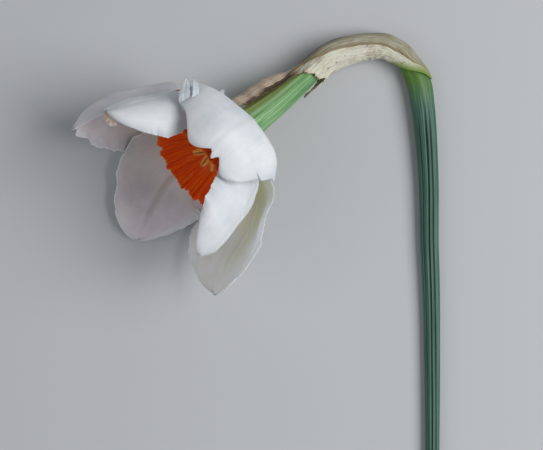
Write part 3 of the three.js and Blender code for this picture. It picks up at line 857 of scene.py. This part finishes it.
def petal_place(petal):
    """A function that gives the points of one petal's inner face."""
    out, rise, turned_aside = np.array(petal["midrib"], float).T
    swing = np.radians(petal["bearing"] + turned_aside)
    midrib_at, marks = curve_through(np.stack([np.sin(swing) * out, np.cos(swing) * out, rise], -1))
    length = marks[-1]
    seed = petal["seed"]

    def place(along, across):
        rows = along * 0.35 + 0.65 * np.sin(along * math.pi / 2)
        side = (across - 0.5) * 2
        side = np.sign(side) * np.abs(side) ** 0.85
        reach = np.abs(side)
        right = side >= 0
        hand = np.where(right, 1.0, -1.0)

        def half(key):
            left_value, right_value = petal[key]
            return np.where(right, right_value, left_value)

        def bend(key):
            left_three, right_three = petal[key]
            return np.radians(np.where(right, along_petal(right_three, u), along_petal(left_three, u)))

        u = rows * through(petal["ends"], (side + 1) / 2)
        mm_along = u * length
        centre = midrib_at(mm_along)
        ahead = midrib_at(np.clip(u + 0.002, 0, 1) * length)
        behind = midrib_at(np.clip(u - 0.002, 0, 1) * length)
        forward = unit(ahead - behind)
        bearing = np.arctan2(centre[:, 0], centre[:, 1])
        sideways = np.stack([np.cos(bearing), -np.sin(bearing), 0 * bearing], -1)
        sideways = unit(sideways - forward * np.sum(sideways * forward, -1, keepdims=True))
        outside = np.cross(forward, sideways)

        opening = np.sin(math.pi / 2 * np.minimum(1, u / half("widest"))) ** 1.2
        past = np.clip((u - half("shoulder")) / (1 - half("shoulder")), 0, 1)
        closing = np.maximum(1 - past ** half("fullness"), 0) ** half("roundness")
        width = half("half_width") * (PETAL_CLAW + (1 - PETAL_CLAW) * opening)
        width = width * (petal["blunt"] + (1 - petal["blunt"]) * closing)
        # Small uneven scallops along the margin.
        scallop = waves(
            0.011,
            (1, 0.9 * mm_along + seed * 2 + hand),
            (0.8, 1.7 * mm_along + seed + 2 * hand),
            (0.5, 3.1 * mm_along + seed * 5 - hand),
            (0.4, 5.3 * mm_along + seed),
        )
        width = width * (1 + scallop * reach**9 * smooth_step(0.12, 0.3, u))

        # The half bends like an arc, so its points are reached by small steps across it.
        curl, roll = bend("curl"), bend("rim")

        def bent_at(x):
            return curl * x + roll * np.clip((x - RIM_START) / (1 - RIM_START), 0, 1) ** 2

        sum_side = np.zeros_like(u)
        sum_in = np.zeros_like(u)
        for k in range(BEND_SLICES):
            angle = bent_at((k + 0.5) / BEND_SLICES * reach)
            sum_side += np.cos(angle) / BEND_SLICES
            sum_in += np.sin(angle) / BEND_SLICES
        angle = bent_at(reach)
        mm_across = width * reach
        spot = centre + sideways * (hand * sum_side * mm_across)[:, None]
        spot = spot - outside * (sum_in * mm_across)[:, None]
        normal = outside * np.cos(angle)[:, None] + sideways * (hand * np.sin(angle))[:, None]

        # The midrib stands out behind and is sunken in front, between two shallow valleys.
        grown = smooth_step(0.03, 0.22, u)
        slim = 1 - 0.5 * u
        keel = petal["keel"] * hump(mm_across / (0.8 * slim))
        valley = 0.22 * hump((mm_across - 2.4 * slim) / (1.4 * slim))
        fold = petal["fold"] * (keel - valley) * grown * smooth_step(1.02, 0.75, u)
        # Soft waves over the blade, raised veins, and a ruffle that grows towards the margin.
        m, c = mm_along, hand * mm_across
        swell = waves(
            0.22,
            (1, 0.21 * m + 0.17 * c + seed),
            (0.8, 0.33 * m - 0.24 * c + 2 * seed),
            (0.5, 0.11 * m + 0.52 * c + 3 * seed),
        )
        pleats = petal["pleats"] * np.cos(6.5 * (side - 0.62) * math.pi) * smooth_step(0.05, 0.4, side)
        pleats = pleats * smooth_step(1.0, 0.8, side) * smooth_step(1.0, 0.6, u)
        veins = waves(0.01, (1, side * 44 + 0.04 * m), (0.7, side * 67 + seed), (0.5, side * 31 - 0.06 * m))
        ruffle = waves(
            petal["ruffle"],
            (1, 0.75 * m + 1.7 * seed + hand),
            (0.7, 1.35 * m + seed - 2 * hand),
            (0.4, 2.4 * m + 2.2 * seed),
        )
        ruffle = ruffle * smooth_step(0.72, 1.0, reach) * smooth_step(0.1, 0.35, u)
        moved = fold + (swell * smooth_step(0.1, 0.4, u) + veins * (1 - reach**6) + ruffle + pleats) * grown
        spot = spot + normal * (moved + FACE_GAP)[:, None]
        # The small stiff point at the tip.
        tip = hump((side - petal["point_side"]) / petal["point_width"])
        tip = petal["point"] * tip * smooth_step(0.97, 1.0, rows)
        spot = spot + forward * tip[:, None]
        nudges = [(at_u, at_side, *NUDGE_SPREAD, push) for at_u, at_side, push in petal["nudges"]]
        for at_u, at_side, wide_u, wide_side, push in petal["pulls"] + nudges:
            share = np.exp(-(((u - at_u) / wide_u) ** 2) - ((side - at_side) / wide_side) ** 2)
            spot = spot + share[:, None] * np.array(push)
        return pressed_flat(in_head(spot), PETAL_RESTING, 0.3)

    return place


def petal_skin(name, colours, rib_share, flank_share, base_reach, glow):
    """The white skin of a petal: a tinted base and midrib, fine veins, a bluish painted shade over its
    margin zone and a bright painted rim light along its edge.
    """
    base_colour, rib_colour, blade_colour, shade_colour = colours
    skin = new_material(name)
    sheet = add_node(skin, "UVMap", uv_map="UVMap")
    parts = add_node(skin, "SeparateXYZ", {"Vector": sheet})
    up = parts.outputs["X"]
    # How far a spot is from the midrib: half at the margin.
    off = add_node(skin, "Math", {0: parts.outputs["Y"], 1: 0.5}, operation="SUBTRACT")
    off = add_node(skin, "Math", {0: off}, operation="ABSOLUTE")
    cloud = mottling(skin, 95.0, Detail=3.0, Roughness=0.55)
    veins = streaks_along(skin, (2.2, 58), Detail=3.0, Roughness=0.5)
    # Each share goes from one amount to another while what it reads goes from one mark to the next.
    # The valleys beside the midrib keep some of the base's tint. The thin zone is a bluish painted shade,
    # and the margin a bright painted rim light.
    shares = {}
    for part, value, start, end, first, last, curve in (
        ("vein", veins, 0.5, 0.72, 0, 0.35, "LINEAR"),
        ("rib", off, 0, 0.035, 1, 0, "SMOOTHSTEP"),
        ("rib_fade", up, 0.1, 0.95, rib_share, 0, "LINEAR"),
        ("flank", off, 0.02, 0.17, 1, 0, "SMOOTHSTEP"),
        ("flank_fade", up, 0.3, 0.97, flank_share, 0, "LINEAR"),
        ("base", up, 0.02, base_reach, 0.9, 0, "SMOOTHSTEP"),
        # thin: painted shade, bluish grey, over the margin zone; margin: a painted rim light along the very
        # edge.
        ("thin", off, 0.3, 0.49, 0, 0.4, "SMOOTHSTEP"),
        ("margin", off, 0.485, 0.499, 0, 0.8, "LINEAR"),
    ):
        span = {"Value": value, "From Min": start, "From Max": end, "To Min": first, "To Max": last}
        shares[part] = add_node(skin, "MapRange", span, interpolation_type=curve)
    for part in ("rib", "flank"):
        both = {0: shares[part], 1: shares[part + "_fade"]}
        shares[part] = add_node(skin, "Math", both, operation="MULTIPLY")
    coloured = add_node(skin, "ValToRGB", {"Fac": cloud}, [(0.3, shade_colour), (0.62, blade_colour)])
    for part, colour in (
        ("vein", shade_colour),
        ("flank", base_colour),
        ("rib", rib_colour),
        ("base", base_colour),
        # The thin zone's bluish grey is painted shade, and the margin's near white a painted rim light.
        ("thin", "#bccad3"),
        ("margin", "#fbfbf9"),
    ):
        coloured = add_node(skin, "Mix", {0: shares[part], 6: coloured, 7: colour}, data_type="RGBA")
    cells = streaks_along(skin, (60, 260), Detail=2.0)
    relief = add_node(skin, "Bump", {"Height": veins, "Strength": 0.4, "Distance": 0.06 * MM})
    grain = add_node(
        skin, "Bump", {"Height": cells, "Normal": relief, "Strength": 0.35, "Distance": 0.03 * MM}
    )
    gloss = add_node(skin, "MapRange", {"Value": cells, "To Min": 0.42, "To Max": 0.62})
    finish_material(skin, {
        "Base Color": coloured,
        "Roughness": gloss,
        "Normal": grain,
        "Subsurface Weight": 0.7,
        "Subsurface Radius": (1.0, 0.97, 0.9),
        "Subsurface Scale": glow * MM,
        "Specular IOR Level": 0.3,
        "Sheen Weight": 0.08,
        "Sheen Roughness": 0.4,
    })
    return skin


# Each skin: the colours of the base, the midrib, the blade and its shades, how strong the tints of
# the midrib and of the valleys beside it are, how far the base's tint reaches up the blade, and how
# far light spreads in the skin, in mm.
PETAL_SKINS = {
    "lilac_back": ("#c3c391", "#b5a28f", "#f0eff3", "#d6d4dc", (0.6, 0, 0.24, 1)),
    "plain_back": ("#d9dcb4", "#e3e4da", "#eff4f8", "#d6dee5", (0.35, 0, 0.22, 1)),
    # The inner faces' skin is painted shade: violet-grey, with a brownish midrib and a brownish base tint
    # reaching far up the blade, which is painted shade with a painted orange glow from the cup.
    "violet_front": ("#c8b09a", "#a99c8e", "#f3f1f7", "#d8d2e0", (0.8, 0, 0.8, 1.2)),
    "green_front": ("#d8e0a0", "#fdfdf2", "#ffffff", "#eef1e0", (1.0, 0.75, 0.5, 2.5)),
    "thin_scrap": ("#c6d0d4", "#aebcc4", "#dde6ea", "#b6c4cc", (0.8, 0, 0.2, 1)),
    "withered_scrap": ("#b79c88", "#a2866f", "#d0bcb0", "#ad9484", (0.6, 0, 0.6, 1)),
}
skins = {
    name: petal_skin("white_petal_skin_" + name, colours, *shares)
    for name, (*colours, shares) in PETAL_SKINS.items()
}

petals = {}
for name, own in PETALS.items():
    petal = PLAIN_PETAL | own
    blade = shaped_grid(name + "_blade", PETAL_ROWS, PETAL_COLUMNS, petal_place(petal))
    # The blade thins towards its margin and its tip.
    thick = blade.vertex_groups.new(name="thick")
    rows, columns = corner_shares(PETAL_ROWS, PETAL_COLUMNS)
    off = np.abs(columns - 0.5) * 2
    weights = (1 - 0.6 * off**3) * (1 - 0.15 * rows - 0.6 * rows**20)
    for corner, weight in enumerate(weights):
        thick.add([corner], weight, "REPLACE")
    blade.data.materials.append(skins[petal["back"]])
    blade.data.materials.append(skins[petal["front"]])
    thicken(blade, PETAL_THICKNESS, 1, vertex_group="thick", material_offset=1, material_offset_rim=1)
    grown_as(blade, name, "petal_white")
    petals[name] = blade


# Loose scraps of the same tissue: two torn flaps and a small ear on the margin of the nearest petal,
# and a crumpled, withered scrap behind the tip of its neighbour. Each is part of its petal.
SCRAP_THICKNESS = 0.14
SCRAP_ROWS, SCRAP_COLUMNS = 36, 20
SCRAPS = [
    # Its petal, its middle line, half widths along it, its roll in degrees and how crumpled it is.
    (
        "outer_tepal_2",
        [(-18.3, 79.6, 41.9), (-18.9, 83.4, 42.3), (-18.6, 86.2, 41.6), (-18.5, 88.1, 40.6)],
        [0.9, 1.55, 1.45, 1.0, 0.15],
        14,
        0.04,
    ),
    (
        "outer_tepal_2",
        [(-16.5, 80.6, 41.9), (-16.0, 83.6, 42.6), (-16.1, 86.0, 42.0), (-16.6, 88.1, 40.8)],
        [0.7, 0.95, 0.85, 0.55, 0.1],
        -20,
        0.04,
    ),
    (
        "outer_tepal_2",
        [(-10.9, 82.0, 37.6), (-9.9, 83.6, 37.9), (-9.0, 85.2, 37.4)],
        [0.9, 1.1, 0.9, 0.3],
        20,
        0.05,
    ),
    (
        "inner_tepal_1",
        [(-39.2, 79.4, 43.0), (-38.3, 77.8, 43.2), (-37.3, 76.4, 43.6), (-36.2, 75.6, 43.9)],
        [0.5, 1.3, 1.5, 1.1, 0.3],
        -20,
        0.12,
    ),
]


def scrap_place(line, half_widths, roll, crumple, seed):
    line_at, marks = curve_through(line)

    def place(along, across):
        distance = along * marks[-1]
        centre = line_at(distance)
        forward = unit(line_at(distance + 0.1) - line_at(distance - 0.1))
        sideways = unit(np.cross(forward, (0, 0, 1)))
        upwards = np.cross(sideways, forward)
        side = (across - 0.5) * 2
        uneven = 1 + waves(0.05, (1, 3 * distance + seed), (0.6, 7 * distance))
        width = through(half_widths, along) * uneven
        a = np.radians(roll) + 0.12 * np.sin(1.4 * distance + seed)
        out = waves(crumple, (1, 2.6 * distance + 2.5 * side + seed), (0.7, 4.7 * distance - 3 * side))
        bend = 0.1 * side**2 * width + 0.14 * hump(side / 0.22)
        sheet = sideways * (np.cos(a) * width * side)[:, None]
        return centre + sheet + upwards * (np.sin(a) * width * side + out - bend)[:, None]

    return place


for number, (name, line, half_widths, roll, crumple) in enumerate(SCRAPS):
    place = scrap_place(line, half_widths, roll, crumple, number)
    scrap = shaped_grid(f"scrap_{number}", SCRAP_ROWS, SCRAP_COLUMNS, place)
    scrap.data.materials.append(skins["thin_scrap" if name == "outer_tepal_2" else "withered_scrap"])
    thicken(scrap, SCRAP_THICKNESS, 0)
    petals[name].select_set(True)
    bpy.context.view_layer.objects.active = petals[name]
    bpy.ops.object.join()


# ---------------- corona: the frilled orange cup
# One soft, pleated ring of tissue that grows from the rim of the throat inside the petals. It is
# thin and crimped, with deep pleats that run out into uneven lobes at its edge.

# The cup's radius and height, from its foot in the throat to its edge.
CUP_PROFILE = [(3.3, -1.55), (3.3, 0.7), (5.5, 2.2), (8.5, 4.9), (11.0, 8.5), (13.2, 12.0)]
CUP_THICKNESS = 0.35
CUP_ROWS, CUP_COLUMNS = 50, 660
cup_at, cup_marks = curve_through([(r, 0, h) for r, h in CUP_PROFILE])


def cup_pleats(a):
    """How far the pleats stand out round the cup."""
    broad = (0.42, 22 * a + 0.8 * np.sin(3 * a))
    return waves(1, broad, (0.2, 33 * a + 1.2 * np.sin(2 * a)), (0.13, 58 * a + 1))


def ring(angle, radius, height):
    """Points round an axis, at a radius and a height along it."""
    return np.stack([np.cos(angle) * radius, np.sin(angle) * radius, height], -1)


def cup_place(along, across):
    a = across * 2 * math.pi
    # Broad, small and fine lobes on one another; the pleats and lobes grow towards the edge.
    lobe = 0.9 * np.abs(np.sin(9.5 * a + 0.8 * np.sin(2 * a))) ** 0.7
    lobe = lobe + 0.55 * np.abs(np.sin(26 * a + 1.1 * np.sin(3 * a))) ** 0.8
    lobe = lobe + 0.25 * np.abs(np.sin(61 * a + 0.6 * np.sin(7 * a))) - 0.9
    point = cup_at(along * cup_marks[-1])
    radius, height = point[:, 0], point[:, 2]
    share = np.clip(height / CUP_PROFILE[-1][1], 0, 1)
    crimp = waves(0.26, (1, 52 * a + 2 * np.sin(5 * a)), (0.6, 89 * a))
    out = radius + cup_pleats(a) * share**1.1 + crimp * share**3
    edge = share**4 * lobe
    out = out + edge * 0.45
    height = height + edge * 0.8
    return in_head(ring(a, out, height))


corona = shaped_grid("corona_cup", CUP_ROWS, CUP_COLUMNS, cup_place)
pleats = cup_pleats(corner_shares(CUP_ROWS, CUP_COLUMNS)[1] * 2 * math.pi)
# How far down in a pleat's valley each spot lies, for the painted shade there.
note_on_corners(corona, "valley", np.clip(0.5 + 0.8 * pleats, 0, 1))
join_edges(closed=False)
thicken(corona, CUP_THICKNESS, 0)

# Thin orange tissue with a silky look: streaked along its pleats, with a darker red painted shade in their
# valleys, glowing where light comes through, and green-yellow at the throat.
orange_cup = new_material("pleated_orange_cup_tissue")
valley = add_node(orange_cup, "Attribute", attribute_name="valley").outputs["Fac"]
around = add_node(orange_cup, "UVMap", uv_map="UVMap")
parts = add_node(orange_cup, "SeparateXYZ", {"Vector": around})
streaks = streaks_along(orange_cup, (3, 190), Detail=4.0, Roughness=0.6)
tissue = add_node(
    orange_cup, "ValToRGB", {"Fac": streaks}, [(0.3, "#f44a00"), (0.72, "#ff8200"), (0.5, "#ff6200")]
)
# Painted shade: the pleats' valleys are darkened towards #cc3c00.
valley_shade_share = add_node(
    orange_cup, "MapRange", {"Value": valley, "From Min": 0.35, "From Max": 0.9, "To Max": 0.45}
)
pleated = add_node(orange_cup, "Mix", {0: valley_shade_share, 6: tissue, 7: "#cc3c00"}, data_type="RGBA")
throat_share = add_node(
    orange_cup,
    "MapRange",
    {"Value": parts.outputs["X"], "From Min": 0.2, "From Max": 0.38, "To Min": 0.95, "To Max": 0},
)
cup_colour = add_node(orange_cup, "Mix", {0: throat_share, 6: pleated, 7: "#c3cf86"}, data_type="RGBA")
relief = add_node(orange_cup, "Bump", {"Height": streaks, "Strength": 0.7, "Distance": 0.15 * MM})
finish_material(orange_cup, {
    "Base Color": cup_colour,
    "Roughness": 0.48,
    "Normal": relief,
    "Subsurface Weight": 0.7,
    "Subsurface Radius": (1.0, 0.35, 0.1),
    "Subsurface Scale": 2 * MM,
    "Specular IOR Level": 0.2,
})
grown_as(corona, "corona", "cup_orange", orange_cup)


# ---------------- style and stigma
# A slender cream rod that stands on the floor of the tube's bore and carries the sticky,
# three-lobed stigma just above the throat, between the stamens.

STYLE_FOOT = -26.4
STYLE_RADIUS = 0.4
STIGMA_HEIGHT = 2.2
STYLE_ROWS, STYLE_COLUMNS = 140, 48


def style_place(along, across):
    a = across * 2 * math.pi
    height = STYLE_FOOT + along * (STIGMA_HEIGHT - STYLE_FOOT)
    swelling = smooth_step(STIGMA_HEIGHT - 1.6, STIGMA_HEIGHT - 0.5, height)
    radius = STYLE_RADIUS + swelling * (0.42 + 0.16 * np.cos(3 * a))
    closing = smooth_step(STIGMA_HEIGHT - 0.45, STIGMA_HEIGHT, height)
    radius = radius * (1 - 0.45 * closing)
    radius = np.where((along < 0.004) | (along > 0.996), 0, radius)
    height = height - 0.25 * np.where(along > 0.996, 1, 0)
    return in_head(ring(a, radius, height))


style = shaped_grid("style_rod", STYLE_ROWS, STYLE_COLUMNS, style_place)
join_edges()

# Moist cream tissue, a little see-through, faintly mottled.
cream_thread = new_material("cream_thread_tissue")
mottle = mottling(cream_thread, 900.0, Detail=3.0)
tissue = add_node(cream_thread, "ValToRGB", {"Fac": mottle}, [(0.3, "#d9cb7c"), (0.7, "#f4ecb8")])
relief = add_node(cream_thread, "Bump", {"Height": mottle, "Strength": 0.4, "Distance": 0.05 * MM})
finish_material(cream_thread, {
    "Base Color": tissue,
    "Roughness": 0.45,
    "Normal": relief,
    "Subsurface Weight": 0.2,
    "Subsurface Radius": (1.0, 0.8, 0.4),
    "Subsurface Scale": 0.6 * MM,
})
grown_as(style, "style", "filament_cream", cream_thread)


# ---------------- stamens
# Six threads grow from the inner wall of the tube, three rooted deeper than the other three, and
# carry the pollen sacs, which fan out as one ring above the throat. Each sac is a pair of grainy
# golden cushions with a furrow between them on its inward side.

# Each set of three: its first number and bearing, and its threads' roots, as radius and height.
STAMEN_SETS = [dict(number=1, first=162, root=(1.95, -8)), dict(number=4, first=222, root=(1.8, -12))]
THREAD_TOP = (1.35, 4.3)
THREAD_RADIUS = 0.34
THREAD_ROWS, THREAD_COLUMNS = 40, 20
ANTHER_PLACE = (0, 2.7, 6.1)
ANTHER_LEAN = math.radians(48)
ANTHER_LENGTH = 4.9
ANTHER_WIDTH = 2.05
ANTHER_ROWS, ANTHER_COLUMNS = 48, 56

# Ripe pollen sac: a dry, dull gold surface of fine grains, darker in its furrow.
golden_sac = new_material("grainy_golden_pollen_sac")
where = add_node(golden_sac, "TexCoord").outputs["Object"]
furrow = add_node(golden_sac, "Attribute", attribute_name="furrow").outputs["Fac"]
grains = add_node(golden_sac, "TexVoronoi", {"Vector": where, "Scale": 9000.0})
mottle = mottling(golden_sac, 1500.0, Detail=3.0)
gold = add_node(golden_sac, "ValToRGB", {"Fac": mottle}, [(0.3, "#ee9c2e"), (0.7, "#ffca66")])
sac_colour = add_node(golden_sac, "Mix", {0: furrow, 6: gold, 7: "#96500f"}, data_type="RGBA")
relief = add_node(golden_sac, "Bump", {"Height": grains, "Strength": 0.5, "Distance": 0.04 * MM})
finish_material(golden_sac, {
    "Base Color": sac_colour,
    "Roughness": 0.75,
    "Normal": relief,
    "Sheen Weight": 0.15,
    "Subsurface Weight": 0.1,
    "Subsurface Radius": (1.0, 0.6, 0.2),
    "Subsurface Scale": 0.5 * MM,
})


def sac_place(along, across):
    """A pollen sac along Z, furrowed on its -Y side, with its middle at the origin."""
    t = along * math.pi
    a = across * 2 * math.pi
    length = -np.cos(t) * ANTHER_LENGTH / 2
    girth = np.maximum(np.sin(t), 0) ** 0.75
    x = np.sin(a)
    y = np.cos(a)
    furrow = hump(x / 0.3) * np.where(y > 0, 0.2, 0.55)
    x = x * ANTHER_WIDTH / 2 * girth
    y = y * ANTHER_WIDTH * 0.4 * (1 - furrow) * girth
    bend = 0.25 * (length / 2) ** 2
    return np.stack([x, y - bend * 0.3, length], -1)


def turned(points, degrees_round):
    """Points of the head's frame turned round the cup's axis, to a bearing."""
    a = math.radians(degrees_round)
    x, y, z = points.T
    return np.stack([x * math.cos(a) + y * math.sin(a), y * math.cos(a) - x * math.sin(a), z], -1)


def filament_place(root):
    middle = ((root[0] + THREAD_TOP[0]) / 2, (root[1] + THREAD_TOP[1]) / 2)
    thread_at, marks = curve_through([(0, *root), (0, *middle), (0, *THREAD_TOP)])

    def place(along, across):
        a = across * 2 * math.pi
        centre = thread_at(along * marks[-1])
        radius = THREAD_RADIUS - 0.1 * along
        radius = np.where((along < 0.01) | (along > 0.99), 0, radius)
        return centre + ring(a, radius, 0 * a)

    return place


def anther_place(along, across):
    x, y, z = sac_place(along, across).T
    forward = y * math.cos(ANTHER_LEAN) + z * math.sin(ANTHER_LEAN)
    upward = z * math.cos(ANTHER_LEAN) - y * math.sin(ANTHER_LEAN)
    return np.stack([x, forward, upward], -1) + np.array(ANTHER_PLACE)


def around_throat(place, bearing):
    return lambda along, across: in_head(turned(place(along, across), bearing))


for stamens in STAMEN_SETS:
    for k in range(3):
        bearing = stamens["first"] + 120 * k
        number = stamens["number"] + k
        thread = around_throat(filament_place(stamens["root"]), bearing)
        filament = shaped_grid(f"filament_{number}_thread", THREAD_ROWS, THREAD_COLUMNS, thread)
        join_edges()
        grown_as(filament, f"filament_{number}", "filament_cream", cream_thread)
        sac = around_throat(anther_place, bearing)
        anther = shaped_grid(f"anther_{number}_sac", ANTHER_ROWS, ANTHER_COLUMNS, sac)
        a = corner_shares(ANTHER_ROWS, ANTHER_COLUMNS)[1] * 2 * math.pi
        furrowed = hump(np.sin(a) / 0.35) * np.where(np.cos(a) > 0, 0.3, 0.9)
        note_on_corners(anther, "furrow", furrowed)
        join_edges()
        grown_as(anther, f"anther_{number}", "anther_gold", golden_sac)


# ---------------- floor, light and camera
# The flower lies on a wide matt floor, under a soft key lamp from the right and a weaker fill lamp
# from the left. The camera looks straight down on it.

bpy.ops.object.select_all(action="DESELECT")
bpy.ops.mesh.primitive_plane_add(size=6, location=(0, 0, 0))
floor = bpy.context.object
floor.name = "floor"
# Matt painted board in a pale, cool grey that hardly varies.
matt_floor = new_material("matt_pale_floor")
tone = mottling(matt_floor, 3.0, Detail=2.0)
grey = add_node(matt_floor, "ValToRGB", {"Fac": tone}, [(0.3, "#c3c5c7"), (0.7, "#c8cacc")])
finish_material(matt_floor, {"Base Color": grey, "Roughness": 0.9, "Specular IOR Level": 0.1})
floor.data.materials.append(matt_floor)


def soft_lamp(name, place, aim, size, watts):
    lamp = bpy.data.lights.new(name, "AREA")
    lamp.energy = watts
    lamp.size = size
    holder = bpy.data.objects.new(name, lamp)
    bpy.context.scene.collection.objects.link(holder)
    holder.location = place
    direction = Vector(aim) - Vector(place)
    holder.rotation_euler = direction.to_track_quat("-Z", "Y").to_euler()
    holder.visible_camera = False


soft_lamp("key_lamp", place=(0.42, 0.06, 0.5), aim=(0.0, 0.05, 0.02), size=0.42, watts=3.25)
soft_lamp("fill_lamp", place=(-0.5, -0.1, 0.5), aim=(0.0, 0.04, 0.02), size=0.6, watts=0.9)

world = bpy.data.worlds.new("studio")
bpy.context.scene.world = world
world.use_nodes = True
sky = world.node_tree.nodes["Background"]
sky.inputs["Color"].default_value = (0.9, 0.95, 1.0, 1)
sky.inputs["Strength"].default_value = 0.2

camera_data = bpy.data.cameras.new("camera")
camera_data.lens = 115
camera_data.sensor_width = 36
camera_data.clip_start = 0.01
camera = bpy.data.objects.new("camera", camera_data)
bpy.context.scene.collection.objects.link(camera)
camera.location = (0.0035, 0.0500, 0.48834)
bpy.context.scene.camera = camera
bpy.context.scene.view_settings.view_transform = "Standard"
